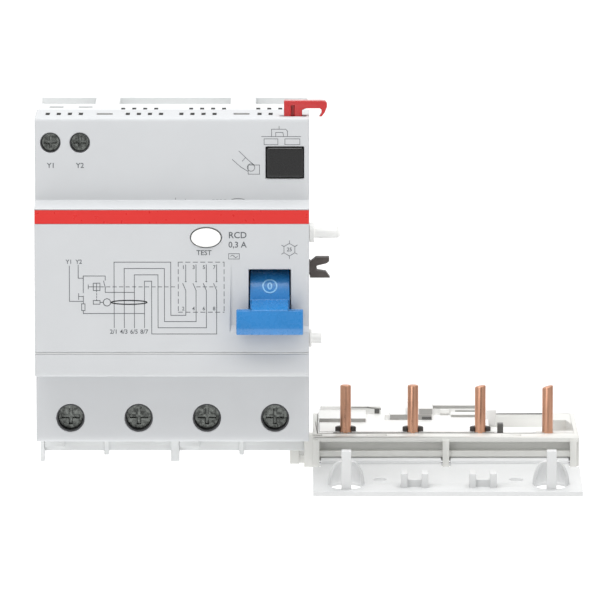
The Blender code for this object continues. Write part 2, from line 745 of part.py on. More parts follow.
winding = solid("secondary_winding", winding_sector)
cut(winding, "winding_hollow", winding_hollow)
relay_z = (chassis_span[0] + 3.0, chassis_span[0] + 19.0)
relay_y = (chassis_y[1] + 0.1, chassis_y[1] + 14.0)
relay_mid = ((relay_y[0] + relay_y[1]) / 2, (relay_z[0] + relay_z[1]) / 2)
trip_relay = solid("trip_relay", boxes(((-12.0, 4.0), relay_y, relay_z)))
cut(trip_relay, "relay_bore", rod("X", relay_mid, -6.0, 6.0, 1.4, sides=20))
trip_plunger = solid("trip_plunger", rod("X", (0.0, 0.0), -7.0, 5.0, 1.2, sides=20), (4.0, *relay_mid))
circuit_board = solid("circuit_board", boxes(((-31.0, 12.0), (-7.6, -6.0), (8.0, 36.0))))
test_resistor = solid("test_resistor", rod("X", (-13.5, 20.0), -6.0, 4.0, 2.0, sides=20))
leg_left = [(-8.0, -13.9), (-5.5, -13.9), (-5.5, -13.1), (-7.2, -13.1), (-7.2, -7.7), (-8.0, -7.7)]
leg_right = [(6.0, -7.7), (5.2, -7.7), (5.2, -13.1), (3.5, -13.1), (3.5, -13.9), (6.0, -13.9)]
add(test_resistor, "resistor_leg_left", prism("Z", leg_left, 19.6, 20.4))
add(test_resistor, "resistor_leg_right", prism("Z", leg_right, 19.6, 20.4))

# Pin tray: a shallow trough with a front lip, hinge ears and the guide blade.
ear_x = (
    (tray_x0, tray_x0 + 1.7),
    (tray_x0 + tray_length / 2 - 0.9, tray_x0 + tray_length / 2 + 0.8),
    (tray_x1 - 2.4, tray_x1 - 0.7),
)
front_wall = (hinge_place[0] + knuckle_radius + 0.3, hinge_place[0] + knuckle_radius + 1.4)
pin_tray = solid("pin_tray", boxes(((tray_x0, tray_x1), (front_wall[0], tray_back), (tray_bottom, tray_top))))
lip_back = tray_front + 7.2
floor_top = tray_bottom + tray_wall
cut(pin_tray, "tray_hollow", boxes((
    (tray_x0 + tray_wall, tray_x1 - tray_wall),
    (front_wall[1], tray_back - tray_wall),
    (floor_top, tray_top + 2.0),
)))
add(pin_tray, "tray_lip", boxes(((tray_x0, tray_x1), (tray_front, lip_back), (tray_top - tray_wall, tray_top))))
ear_front = hinge_place[0] - knuckle_radius - 0.1
add(pin_tray, "hinge_ears", boxes(*[
    (x, (ear_front, front_wall[0] + 0.5), (tray_bottom, tray_top - 0.6)) for x in ear_x
]))
rail_low = hinge_place[1] + knuckle_radius + 0.15
add(pin_tray, "hinge_rail", boxes((
    (ear_x[0][0] + 0.2, ear_x[2][1] - 0.2), (hinge_place[0] - 0.1, front_wall[0] + 0.5), (rail_low, rail_low + 1.65),
)))
cut(pin_tray, "hinge_rod_bore", rod(
    "X", hinge_place, tray_x0 - 1.0, tray_x1 - 0.9, hinge_rod_radius + seat_play, sides=16,
))
cut(pin_tray, "lip_slots", boxes(
    ((tray_x0 - 1.0, tray_x0 + 2.4), (tray_front + 3.0, tray_front + 5.2), (tray_top - 0.8, tray_top + 1.0)),
    ((tray_x0 + 14.0, tray_x0 + 19.2), (tray_front + 3.0, tray_front + 5.2), (tray_top - 0.8, tray_top + 1.0)),
    ((tray_x1 - 20.2, tray_x1 - 14.9), (tray_front + 3.0, tray_front + 5.2), (tray_top - 0.8, tray_top + 1.0)),
))
add(pin_tray, "guide_blade", boxes(
    (blade_x, blade_y, (tray_bottom, blade_top)),
))
add(pin_tray, "blade_foot", boxes(
    ((blade_x[0] + 0.2, tray_x0 + 0.6), (blade_y[0] + 0.2, blade_y[1] - 0.2), (tray_bottom + 0.2, skirt_low - 1.8)),
))

add(pin_tray, "tray_link", boxes(
    ((half_width - 1.3, tray_x0 + 0.05), (tray_front + 0.1, skirt_y - play), (tray_bottom + 0.2, -bottom_height - 0.5)),
))
corner_block = (tray_x1 - 6.0, -6.5)
add(pin_tray, "tray_corner", prism("Z", [
    (corner_block[0], corner_block[1]), (tray_x1 - 2.6, corner_block[1]), (tray_x1 - 0.4, -18.0),
    (tray_x1 - 0.4, tray_back - 0.6), (corner_block[0], tray_back - 0.6),
], tray_bottom + 0.6, tray_top - 0.02))

# Cover over the conductors, with stepped ribs and a hole for each pin that stands in it.
cover_x = (tray_x0 + tray_wall + 0.1, tray_x0 + cover_span)
cover_y = (lip_back + 0.15, tray_back - tray_wall - 0.1)
tray_cover = solid("tray_cover", boxes((cover_x, cover_y, (tray_top - tray_wall, tray_top))))
add(tray_cover, "cover_base", boxes((
    (cover_x[0] + 0.4, cover_x[1]), (cover_y[0] + 1.0, cover_y[1]), (tray_top - 0.5, tray_top + 0.3),
)))
add(tray_cover, "cover_steps", boxes(
    ((tray_x0 + 1.6, tray_x0 + 14.0), (-13.0, cover_y[1] - 0.2), (tray_top - 0.4, tray_top + 1.4)),
    ((tray_x0 + 20.3, tray_x0 + 24.7), (-9.0, cover_y[1] - 0.3), (tray_top - 0.4, tray_top + 1.7)),
    ((tray_x0 + 36.3, tray_x0 + 45.2), (-4.6, cover_y[1] - 0.4), (tray_top - 0.4, tray_top + 1.1)),
))
add(tray_cover, "cover_back_step", boxes(
    ((tray_x0 + 31.5, tray_x0 + 45.4), (-0.6, cover_y[1] - 0.5), (tray_top - 0.4, tray_top + 1.8)),
))
add(tray_cover, "cover_corner_post", boxes(
    ((tray_x0 + 45.5, tray_x0 + 48.1), (-9.0, -5.4), (tray_top - tray_wall, tray_top + 3.0)),
))


def cover_pin_holes(shape):
    for x in pin_x[:3]:
        add_rod(shape, "Z", (x, pin_back), tray_top - 4.0, tray_top + 4.0, pin_radius + 0.15, sides=20)


cut(tray_cover, "cover_pin_holes", cover_pin_holes)
add(pin_tray, "fourth_pin_boss", boxes((
    (pin_x[3] - 3.0, tray_x1 - 0.4), (lip_back - 0.6, pin_back + 3.2), (tray_top - 1.4, tray_top - 0.02),
)))
cut(pin_tray, "fourth_pin_hole", rod("Z", (pin_x[3], pin_back), tray_top - 4.0, tray_top + 4.0, pin_radius + 0.15, sides=20))
collars = []
for number, x in enumerate(pin_x[:3], 1):
    collar = solid("pin_collar_%d" % number, rod("Z", (x, pin_back), tray_top + 0.35, tray_top + 1.5, pin_radius + 1.3, sides=24))
    cut(collar, "collar_bore_%d" % number, rod("Z", (x, pin_back), tray_top - 1.0, tray_top + 2.0, pin_radius + 0.05, sides=20))
    cut(collar, "collar_front_%d" % number, boxes((
        (x - 4.0, x + 4.0), (pin_back - 5.0, pin_back - 0.2), (tray_top - 1.0, tray_top + 3.0),
    )))
    collars.append(collar)

# Copper pins: upright ends with runs along the trough towards the housing.
run_z = floor_top + pin_radius + 0.1
run_pitch = (tray_back - tray_wall - pin_radius - 1.0 - (pin_back + 6.0)) / 3
pins = []
for number, x in enumerate(pin_x, 1):
    run_y = pin_back + 6.0 + run_pitch * (number - 1)
    pins.append(wire_path("copper_pin_%d" % number, [
        (x, pin_back, pin_top),
        (x, pin_back, run_z),
        (x, run_y, run_z),
        (tray_x0 + tray_wall + 1.0, run_y, run_z),
    ], pin_radius, sides=20))

# Hinge rod and folding screw cover with its guides, clips and sealing holes.
flap_top = flap_thickness / 2 - flap_drop
flap_low = flap_top - flap_thickness
hinge_rod = solid("hinge_rod", rod("X", hinge_place, tray_x0 + 0.1, tray_x1 - 1.0, hinge_rod_radius, sides=16))
screw_cover = solid("screw_cover", boxes((
    (tray_x0, tray_x1), (-flap_length, -0.2), (flap_low, flap_top),
)), (0.0, *hinge_place))
screw_cover.rotation_euler = (math.radians(flap_tilt), 0.0, 0.0)


def tilted(tool):
    tool.rotation_euler = screw_cover.rotation_euler
    return tool


knuckle_spans = ((ear_x[0][1] + play, ear_x[1][0] - play), (ear_x[1][1] + play, ear_x[2][0] - play))


def knuckles(shape):
    for low, high in knuckle_spans:
        add_rod(shape, "X", (0.0, 0.0), low, high, knuckle_radius, sides=24)


tilted(add(screw_cover, "flap_knuckles", knuckles))
tilted(cut(screw_cover, "ear_notches", boxes(
    ((tray_x0 - 1.0, ear_x[0][1] + play), (-4.0, 2.0), (-3.0, 3.0)),
    ((ear_x[1][0] - play, ear_x[1][1] + play), (-4.0, 2.0), (-3.0, 3.0)),
    ((ear_x[2][0] - play, tray_x1 + 1.0), (-4.0, 2.0), (-3.0, 3.0)),
)))
tilted(cut(screw_cover, "flap_bore", rod("X", (0.0, 0.0), tray_x0 - 2.0, tray_x1 + 2.0, hinge_rod_radius + 0.08, sides=16)))
bell_y = -(flap_length - 7.0)
# Each guide is half a bell: (share of height, share of the radius at the foot).
bell_curve = ((0.0, 1.0), (0.3, 0.97), (0.6, 0.88), (0.82, 0.74), (0.95, 0.58), (1.0, 0.44))


def bell_shells(shape):
    foot = bell_radius + 0.5
    arc = [math.radians(180 * step / 16) for step in range(17)]
    for x in (pin_x[0], pin_x[3]):
        loops = []
        for rise, width in bell_curve:
            z = flap_top - 0.3 + rise * bell_height
            ring = []
            for reach, angles in ((foot * width, arc), (foot * width - 0.9, arc[::-1])):
                ring += [(x + reach * math.cos(a), bell_y + reach * math.sin(a), z) for a in angles]
            loops.append([shape.verts.new(spot) for spot in ring])
        shape.faces.new(loops[0])
        shape.faces.new(loops[-1])
        for lower, upper in zip(loops, loops[1:]):
            for index in range(len(lower)):
                after = (index + 1) % len(lower)
                shape.faces.new((lower[index], lower[after], upper[after], upper[index]))


def bell_holes(shape):
    for x in (pin_x[0], pin_x[3]):
        add_rod(shape, "Z", (x, bell_y), flap_low - 1.0, flap_top + 1.0, bell_radius, sides=32)


def bell_posts(shape):
    for x in (pin_x[0], pin_x[3]):
        add_box(shape, (x - 1.25, x + 1.25), (bell_y - bell_radius - 0.9, bell_y - bell_radius + 1.2), (flap_top - 0.9, flap_top + 10.2))


def clips(shape):
    for x in pin_x[1:3]:
        add_box(shape, (x - 3.5, x - 1.8), (bell_y - 3.4, bell_y + 0.4), (flap_top - 0.4, flap_top + 3.8))
        add_box(shape, (x + 1.8, x + 3.5), (bell_y - 3.4, bell_y + 0.4), (flap_top - 0.4, flap_top + 3.8))


def clip_webs(shape):
    for x in pin_x[1:3]:
        add_box(shape, (x - 2.0, x + 2.0), (bell_y - 2.2, bell_y - 1.2), (flap_top - 0.5, flap_top + 2.0))


def seal_holes(shape):
    for x in ((pin_x[0] + pin_x[1]) / 2, (pin_x[2] + pin_x[3]) / 2):
        add_rod(shape, "Z", (x, bell_y + 5.6), flap_low - 1.0, flap_top + 1.0, 1.7, sides=20)


tilted(cut(screw_cover, "bell_holes", bell_holes))
tilted(add(screw_cover, "bell_shells", bell_shells))
tilted(add(screw_cover, "bell_posts", bell_posts))
tilted(add(screw_cover, "clips", clips))
tilted(add(screw_cover, "clip_webs", clip_webs))
tilted(cut(screw_cover, "seal_holes", seal_holes))

# Materials.
housing_grey = (0.66, 0.67, 0.67)
finishes = (
    (plastic("housing_plastic", housing_grey, 0.42), [front_cover]),
    (plastic("base_plastic", (0.70, 0.71, 0.71), 0.45), [rear_base]),
    (plastic("latch_plastic", (0.60, 0.61, 0.62), 0.45), latches),
    (plastic("red_stripe", (0.62, 0.02, 0.015), 0.35), [accent_stripe]),
    (plastic("toggle_blue", (0.03, 0.22, 0.60), 0.35), [toggle]),
    (plastic("shaft_steel", (0.45, 0.45, 0.46), 0.3, 1.0), [toggle_shaft, hook_pin, hinge_rod]),
    (plastic("button_white", (0.85, 0.85, 0.83), 0.35), [test_button]),
    (plastic("button_black", (0.012, 0.012, 0.014), 0.3), [lock_button]),
    (plastic("spring_steel", (0.5, 0.5, 0.52), 0.3, 1.0), [test_spring, lock_spring]),
    (plastic("fork_plastic", (0.07, 0.06, 0.055), 0.5), [trip_fork]),
    (plastic("peg_plastic", (0.86, 0.86, 0.85), 0.4), [upper_peg, lower_peg]),
    (plastic("hook_red", (0.55, 0.03, 0.03), 0.25, 0.0, 0.8), [locking_hook]),
    (plastic("screw_steel", (0.18, 0.19, 0.19), 0.35, 1.0), screws + pilot_screws),
    (plastic("clamp_steel", (0.5, 0.5, 0.48), 0.4, 1.0), cages + pilot_clamps),
    (plastic("copper", (0.62, 0.26, 0.14), 0.3, 1.0), conductors + pins),
    (plastic("core_iron", (0.08, 0.08, 0.09), 0.5), [sensor_core]),
    (plastic("winding_copper", (0.45, 0.14, 0.05), 0.35, 1.0), [winding]),
    (plastic("inner_plastic", (0.10, 0.10, 0.11), 0.5), [chassis, trip_relay]),
    (plastic("plunger_steel", (0.5, 0.5, 0.5), 0.3, 1.0), [trip_plunger]),
    (plastic("board_green", (0.02, 0.15, 0.06), 0.45), [circuit_board]),
    (plastic("resistor_coating", (0.25, 0.33, 0.30), 0.5), [test_resistor]),
    (plastic("tray_plastic", (0.68, 0.68, 0.66), 0.38), [pin_tray]),
    (plastic("cover_plastic", (0.76, 0.76, 0.75), 0.4), [tray_cover]),
    (plastic("flap_plastic", (0.78, 0.78, 0.78), 0.4), [screw_cover]),
    (plastic("collar_plastic", (0.07, 0.06, 0.06), 0.5), collars),
)
for finish, owners in finishes:
    for owner in owners:
        own = finish.copy()
        own.name = owner.name + "_" + finish.name
        owner.data.materials.clear()
        owner.data.materials.append(own)
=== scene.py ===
"""Looks of the four-pole residual current device: mouldings, print, metalwork and a plain white studio."""

import json
import math

import bmesh
import bpy
import numpy as np
from bpy.props import FloatProperty, PointerProperty, StringProperty
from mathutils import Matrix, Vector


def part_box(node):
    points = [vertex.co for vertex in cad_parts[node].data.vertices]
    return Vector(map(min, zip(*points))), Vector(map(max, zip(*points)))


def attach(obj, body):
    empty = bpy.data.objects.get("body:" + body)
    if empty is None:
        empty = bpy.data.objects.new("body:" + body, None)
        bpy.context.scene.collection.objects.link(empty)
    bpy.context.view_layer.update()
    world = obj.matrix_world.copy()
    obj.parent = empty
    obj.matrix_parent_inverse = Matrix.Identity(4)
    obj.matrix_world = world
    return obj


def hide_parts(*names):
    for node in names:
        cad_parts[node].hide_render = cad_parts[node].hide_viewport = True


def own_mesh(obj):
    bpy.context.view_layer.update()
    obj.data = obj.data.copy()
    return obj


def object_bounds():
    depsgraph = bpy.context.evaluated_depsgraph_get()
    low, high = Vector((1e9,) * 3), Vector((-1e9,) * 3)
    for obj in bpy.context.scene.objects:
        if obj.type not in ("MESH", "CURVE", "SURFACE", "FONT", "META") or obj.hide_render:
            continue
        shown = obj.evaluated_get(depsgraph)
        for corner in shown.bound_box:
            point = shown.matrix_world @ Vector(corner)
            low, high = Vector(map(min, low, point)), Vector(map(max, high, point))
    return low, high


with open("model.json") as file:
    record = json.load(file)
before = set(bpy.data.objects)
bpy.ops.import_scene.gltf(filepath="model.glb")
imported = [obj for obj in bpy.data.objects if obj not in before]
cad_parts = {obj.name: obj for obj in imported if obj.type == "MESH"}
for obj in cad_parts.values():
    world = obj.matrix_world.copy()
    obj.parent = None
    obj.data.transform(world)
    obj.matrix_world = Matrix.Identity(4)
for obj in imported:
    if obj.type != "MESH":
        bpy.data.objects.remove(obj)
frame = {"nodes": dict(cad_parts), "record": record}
cad_box = [list(corner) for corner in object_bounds()]

bl_info = {
    "name": "Residual current device looks",
    "version": (1, 0, 0),
    "blender": (4, 5, 0),
    "location": "View3D > Sidebar > Device",
    "description": "Builds the visible mouldings, printing and metalwork around the packed device",
    "category": "Object",
}

# Lengths below are in millimetres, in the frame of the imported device, unless a name says otherwise.
MM = 0.001
POLES = 4
HALF_WIDTH = 35.0
NOSE_FACE = -63.5
UPPER_DECK = -57.5

# Edges sharper than the crease are kept sharp or rounded; faces flatter than the flatness are joined.
CREASE = math.radians(32.0)
FLATNESS = math.radians(0.4)

# Points closer than this are merged, in metres.
SHAPE_WELD = 0.002 * MM
ARRAY_WELD = 0.001 * MM
LETTER_WELD = 0.0005 * MM
PRINT_WELD = 0.0001 * MM

# Vent slots, with dark slabs behind them that paint the shade inside: for each row, every run's first slot
# and count, then the slabs' front, back, foot and top.
VENT_PITCH = 2.83
VENT_HALF = 0.49
VENT_ROWS = (
    (((3.1, 4), (23.6, 4), (37.3, 4), (57.3, 2)), (-47.5, -47.12, 41.6, 44.3)),
    (((22.1, 4), (39.6, 4), (56.9, 3)), (-32.9, -32.52, 41.2, 43.9)),
)
# Snap windows near the front of the top: middles in x and half a width; grey slabs in them paint the shade
# seen through the windows.
SNAP_WINDOWS = (-17.3, 17.7)
SNAP_HALF = 1.98

# The diagram's and the labels' common positions: first output line and the pitch of the output lines.
OUTPUT_X = 3.54
OUTPUT_PITCH = 2.62
FROST_X = 29.95
FROST_Z = 11.1

# The toggle's barrel: its axis, its radius and the angle, in degrees, at which its mark sits.
TOGGLE_AXIS = (24.95, -54.0, -3.0)
TOGGLE_RADIUS = 9.0
TOGGLE_LIFT = 30.0

# Sleeves round the screws, whose dark plastic paints the shade deep in the screw holes: height, outer and
# inner radius, front and back.
TERMINAL_SLEEVE = (-33.8, 3.6, 3.27, -53.3, -48.7)
PILOT_SLEEVE = (37.8, 2.57, 2.36, -57.3, -54.3)

# Springs: node, joint of the button, turns and travel. The wire's radius is shared.
SPRINGS = (("test_spring", "test_press", 6, 1.6), ("lock_spring", "lock_press", 5, 2.5))
SPRING_WIRE = 0.25

# Copper pins: height of the tip's chamfer, and how much lower the sheared tips are on one side.
PIN_CHAMFER = 0.3
TIP_REACH = 0.4
SHEARED_TIPS = {3: 0.5, 4: 0.75}

# Half the floor's width and the camera's place, both in metres; the tilt is in degrees.
FLOOR_HALF = 6.0
CAMERA_PLACE = (0.03265, -2.0440, 0.2765)
CAMERA_LENS = 470.8
CAMERA_TILT = 82.0


# ---------------------------------------------------------------- sizes and colours


class DEVICE_PG_sizes(bpy.types.PropertyGroup):
    """Sizes of the visible detail, in metres."""

    shell_edge: FloatProperty(
        name="Shell edge", description="Rounding left by the mould on the housing's edges",
        default=0.25 * MM, min=0.02 * MM, max=0.6 * MM, unit="LENGTH", precision=5)
    tray_edge: FloatProperty(
        name="Tray edge", description="Rounding on the tray, its cover and the screw cover",
        default=0.16 * MM, min=0.02 * MM, max=0.4 * MM, unit="LENGTH", precision=5)
    metal_edge: FloatProperty(
        name="Metal edge", description="Rounding on stamped and turned metal",
        default=0.12 * MM, min=0.02 * MM, max=0.3 * MM, unit="LENGTH", precision=5)
    print_line: FloatProperty(
        name="Print line", description="Width of a printed line",
        default=0.17 * MM, min=0.05 * MM, max=0.5 * MM, unit="LENGTH", precision=5)
    print_height: FloatProperty(
        name="Print height", description="Thickness of the pad-printed ink",
        default=0.02 * MM, min=0.005 * MM, max=0.1 * MM, unit="LENGTH", precision=5)
    pin_radius: FloatProperty(
        name="Pin radius", description="Radius of each drawn copper pin",
        default=1.4 * MM, min=0.5 * MM, max=1.45 * MM, unit="LENGTH", precision=5)
    pin_bend: FloatProperty(
        name="Pin bend", description="Inside radius left where a pin is bent into its run",
        default=1.2 * MM, min=0.2 * MM, max=2.0 * MM, unit="LENGTH", precision=5)
    floor_drop: FloatProperty(
        name="Floor drop", description="How far the studio floor lies below the device",
        default=0.42, min=0.05, max=2.0, unit="LENGTH")


class DEVICE_PG_colours(bpy.types.PropertyGroup):
    """Colours of the finishes, as sRGB hex."""

    housing: StringProperty(name="Housing", description="Light grey polycarbonate", default="#C3C5C7")
    tray: StringProperty(name="Tray", description="Warm grey polyamide of the tray", default="#D6D6D2")
    flap: StringProperty(
        name="Screw cover", description="Pale grey polyamide of the cover", default="#D0D1D1")
    stripe: StringProperty(name="Stripe", description="Red inlay across the nose", default="#D01E18")
    toggle: StringProperty(name="Toggle", description="Blue of the toggle", default="#2C7ABA")
    black: StringProperty(name="Black button", description="Black of the lock button", default="#09090A")
    hook: StringProperty(name="Hook", description="Red of the locking hook", default="#C22A2C")
    copper: StringProperty(name="Copper", description="Bare drawn copper", default="#DCA88C")
    ink: StringProperty(name="Ink", description="Grey pad-printing ink", default="#54585C")


# ---------------------------------------------------------------- materials


def linear(code):
    """An sRGB hex colour turned to linear RGBA."""
    values = np.array([int(code[n:n + 2], 16) for n in (1, 3, 5)]) / 255.0
    low = values / 12.92
    high = ((values + 0.055) / 1.055) ** 2.4
    return (*np.where(values <= 0.04045, low, high), 1.0)


def node(tree, kind, inputs=None, **settings):
    """Adds one node, with its settings, its input values and its links."""
    made = tree.nodes.new("ShaderNode" + kind)
    for key, value in settings.items():
        setattr(made, key, value)
    for key, value in (inputs or {}).items():
        if isinstance(value, bpy.types.NodeSocket):
            tree.links.new(value, made.inputs[key])
        else:
            made.inputs[key].default_value = value
    return made


def shaded(colour, share):
    """A linear colour made lighter or darker by a share."""
    return (*(min(1.0, c * share) for c in colour[:3]), 1.0)


def finish(name, code, rough, grain, depth, stretch=(1, 1, 1), mottle=0.03, cloud=9.0, metallic=0.0,
           coat=0.0, clear=0.0, rough_spread=0.06):
    """A surface with cloudy colour, a fine relief and a roughness that follows the relief.

    Grain is the relief's feature size and cloud the size of the colour's patches, in millimetres.
    Depth is the relief's height in millimetres.
    """
    made = bpy.data.materials.new(name)
    made.use_nodes = True
    tree = made.node_tree
    shader = tree.nodes["Principled BSDF"]
    base = linear(code)
    made.diffuse_color = base
    place = node(tree, "TexCoord")
    turned = node(tree, "Mapping", {"Vector": place.outputs["Object"], "Scale": stretch})
    patches = node(tree, "TexNoise", {
        "Vector": place.outputs["Object"], "Scale": 1 / (cloud * MM), "Detail": 3.0})
    tone = node(tree, "ValToRGB", {"Fac": patches.outputs["Fac"]})
    tone.color_ramp.elements[0].position = 0.35
    tone.color_ramp.elements[0].color = shaded(base, 1 - mottle)
    tone.color_ramp.elements[1].position = 0.65
    tone.color_ramp.elements[1].color = shaded(base, 1 + mottle)
    tree.links.new(tone.outputs["Color"], shader.inputs["Base Color"])
    relief = node(tree, "TexNoise", {
        "Vector": turned.outputs["Vector"], "Scale": 1 / (grain * MM), "Detail": 2.0})
    bump = node(tree, "Bump", {"Height": relief.outputs["Fac"], "Strength": 0.6, "Distance": depth * MM})
    tree.links.new(bump.outputs["Normal"], shader.inputs["Normal"])
    gloss = node(tree, "MapRange", {
        "Value": relief.outputs["Fac"], "From Min": 0.3, "From Max": 0.7,
        "To Min": rough - rough_spread, "To Max": rough + rough_spread})
    tree.links.new(gloss.outputs["Result"], shader.inputs["Roughness"])
    shader.inputs["Metallic"].default_value = metallic
    shader.inputs["Coat Weight"].default_value = coat
    shader.inputs["Coat Roughness"].default_value = 0.08
    shader.inputs["Transmission Weight"].default_value = clear
    if not metallic:
        shader.inputs["IOR"].default_value = 1.55
    return made


def finishes(colours):
    """Every finish on the device, by the record's slot; the last four are looks of their own."""
    return {
        # Polycarbonate from a spark-eroded mould: an even, very fine grain that dulls the highlights.
        "housing_plastic": finish(
            "spark_textured_light_grey_polycarbonate", colours.housing, 0.44, 0.22, 0.018, mottle=0.008),
        "base_plastic": finish(
            "spark_textured_base_polycarbonate", "#D8DADA", 0.46, 0.22, 0.018, mottle=0.01),
        "latch_plastic": finish(
            "moulded_polyamide_latch", "#CBCDCE", 0.42, 0.3, 0.015, mottle=0.02),
        # Smooth ABS inlay: a faint orange peel breaks up the reflections.
        "red_stripe": finish(
            "moulded_red_abs_inlay", colours.stripe, 0.3, 1.4, 0.012, mottle=0.02, cloud=14,
            rough_spread=0.03),
        # Dyed polyamide, polished mould: slight flow marks and a soft gloss.
        "toggle_blue": finish(
            "polished_blue_polyamide", colours.toggle, 0.28, 1.1, 0.01, mottle=0.03, cloud=6,
            rough_spread=0.04),
        "button_white": finish(
            "polished_white_abs", "#F1F1EE", 0.24, 0.9, 0.006, mottle=0.01, rough_spread=0.03),
        "button_black": finish(
            "satin_black_abs", colours.black, 0.3, 0.25, 0.012, mottle=0.1, rough_spread=0.05),
        "fork_plastic": finish(
            "glass_filled_dark_polyamide", "#4A4340", 0.5, 0.35, 0.03, mottle=0.12, cloud=2.5),
        "peg_plastic": finish(
            "turned_white_acetal", "#EEEEEC", 0.36, 0.3, 0.008, stretch=(3, 1, 1), mottle=0.01),
        # Slightly clear dyed polycarbonate: light gets a little way in and lifts the thin edges.
        "hook_red": finish(
            "tinted_red_polycarbonate", colours.hook, 0.2, 1.2, 0.008, mottle=0.04, cloud=3, clear=0.12,
            rough_spread=0.04),
        # Black passivated zinc on turned steel: dark with an uneven smoky film over fine tool marks.
        "screw_steel": finish(
            "black_passivated_turned_steel", "#666966", 0.24, 0.25, 0.03, stretch=(1, 0.2, 1), mottle=0.5,
            cloud=0.9, metallic=1.0, rough_spread=0.14),
        "clamp_steel": finish(
            "zinc_plated_stamped_steel", "#BDBFBA", 0.38, 0.25, 0.012, mottle=0.12, cloud=3, metallic=1.0,
            rough_spread=0.1),
        # Ground and drawn steel: fine lines along the length of the piece.
        "shaft_steel": finish(
            "ground_steel_rod", "#B9BABC", 0.25, 0.1, 0.008, stretch=(0.05, 1, 1), mottle=0.08, metallic=1.0),
        "spring_steel": finish(
            "drawn_spring_wire", "#B4B6B8", 0.28, 0.15, 0.008, mottle=0.1, cloud=2, metallic=1.0),
        "plunger_steel": finish(
            "ground_plunger_steel", "#BFC0C2", 0.26, 0.1, 0.008, stretch=(0.05, 1, 1), mottle=0.08,
            metallic=1.0),
        # Bare drawn copper: long die lines on each pin's surface, with a light brown bloom in patches.
        "copper": finish(
            "drawn_copper_bar", colours.copper, 0.34, 0.5, 0.004, stretch=(1, 1, 0.05), mottle=0.06, cloud=6,
            metallic=1.0, rough_spread=0.1),
        "core_iron": finish(
            "epoxy_coated_core", "#2F3236", 0.42, 0.9, 0.05, mottle=0.15, cloud=4),
        # Enamelled wire: amber varnish over copper.
        "winding_copper": finish(
            "enamelled_copper_wire", "#B5683A", 0.22, 0.2, 0.01, mottle=0.1, cloud=2, metallic=0.8, coat=0.6),
        "inner_plastic": finish(
            "black_glass_filled_polyamide", "#3A3B3D", 0.52, 0.35, 0.03, mottle=0.12, cloud=4),
        # Woven glass laminate under green resist, with a fine cloudy relief.
        "board_green": finish(
            "green_resist_laminate", "#1F6B3A", 0.3, 0.7, 0.02, mottle=0.2, cloud=3, coat=0.4),
        "resistor_coating": finish(
            "lacquered_ceramic", "#8FA398", 0.35, 0.8, 0.03, mottle=0.06, cloud=2),
        # Polyamide of the tray: a little glossier and warmer than the housing, with faint flow marks.
        "tray_plastic": finish(
            "moulded_warm_grey_polyamide", colours.tray, 0.34, 0.35, 0.012, mottle=0.02, cloud=7),
        "cover_plastic": finish(
            "moulded_grey_cover_polyamide", "#F0F0EE", 0.36, 0.3, 0.012, mottle=0.015, cloud=7),
        "flap_plastic": finish(
            "moulded_pale_polyamide", colours.flap, 0.36, 0.35, 0.012, mottle=0.015, cloud=8),
        "collar_plastic": finish(
            "moulded_dark_elastomer", "#3B3634", 0.55, 0.3, 0.02, mottle=0.1, cloud=2),
        # Painted shade: matt grey and dark faces that stand for the shade inside the tray's openings, in the
        # snap windows and behind the vents.
        "shade": finish(
            "painted_shade_grey", "#A5A4A1", 0.6, 0.3, 0.01, mottle=0.05, cloud=3),
        "deep_shade": finish(
            "painted_deep_shade", "#5E5E5C", 0.6, 0.3, 0.01, mottle=0.08, cloud=3),
        # The mark moulded on the toggle, in a paler blue.
        "toggle_mark": finish(
            "toggle_mark_blue", "#8CC4EC", 0.32, 0.8, 0.01, mottle=0.03, cloud=3, rough_spread=0.04),
        # Pad-printing ink: matt, a touch uneven where the pad lifted off.
        "ink": finish(
            "grey_pad_printing_ink", colours.ink, 0.6, 0.2, 0.004, mottle=0.12, cloud=0.6),
    }


# ---------------------------------------------------------------- putting pieces in


def mesh_from(name, points, faces):
    """A mesh from an array of points in metres and an array of faces."""
    made = bpy.data.meshes.new(name)
    made.from_pydata(points.tolist(), [], faces.tolist())
    made.update()
    return made


def put(name, mesh, body, slot, looks, replaces=(), look=None):
    """Links a finished mesh as a piece that rides on a body.

    It takes its slot's finish unless another look is named. Ink is no slot of the record.
    """
    made = bpy.data.objects.new(name, mesh)
    bpy.context.scene.collection.objects.link(made)
    mesh.materials.clear()
    mesh.materials.append(looks[look or slot])
    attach(made, body)
    if replaces:
        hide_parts(*replaces)
    return made


def smooth(mesh):
    """Smooth faces, with every edge over the crease angle kept sharp."""
    mesh.polygons.foreach_set("use_smooth", np.ones(len(mesh.polygons), bool))
    mesh.set_sharp_from_angle(angle=CREASE)


def rounded_edges(piece, width, steps=2):
    """A bevel on every edge sharper than the crease angle."""
    soft = piece.modifiers.new("moulded_edges", "BEVEL")
    soft.width = width
    soft.segments = steps
    soft.limit_method = "ANGLE"
    soft.angle_limit = CREASE
    soft.use_clamp_overlap = False
    soft.harden_normals = True
    soft.miter_outer = "MITER_SHARP"
    return piece


def body_holding(name):
    """The body that a CAD node belongs to."""
    for body, members in frame["record"]["behaviour"]["bodies"].items():
        if name in members:
            return body
    raise ValueError("no body holds " + name)


def slot_of(name):
    """The record's material slot for a CAD node."""
    for row in frame["record"]["subparts"]:
        if row["node"] == name:
            return row["material_slot"]
    raise ValueError("no slot for " + name)


def softened(name, width, looks, steps=2, joined=True):
    """The CAD node's own shape with its mould radii: doubles merged, flat faces joined, edges bevelled.

    A shape whose flat faces have many openings keeps its faces apart.
    """
    shape = bmesh.new()
    shape.from_mesh(frame["nodes"][name].data)
    bmesh.ops.remove_doubles(shape, verts=shape.verts, dist=SHAPE_WELD)
    if joined:
        bmesh.ops.dissolve_limit(
            shape, angle_limit=FLATNESS, verts=shape.verts, edges=shape.edges,
            use_dissolve_boundaries=False)
    mesh = bpy.data.meshes.new(name + "_moulded")
    shape.to_mesh(mesh)
    shape.free()
    smooth(mesh)
    made = put(name + "_moulded", mesh, body_holding(name), slot_of(name), looks, (name,))
    return rounded_edges(made, width, steps)


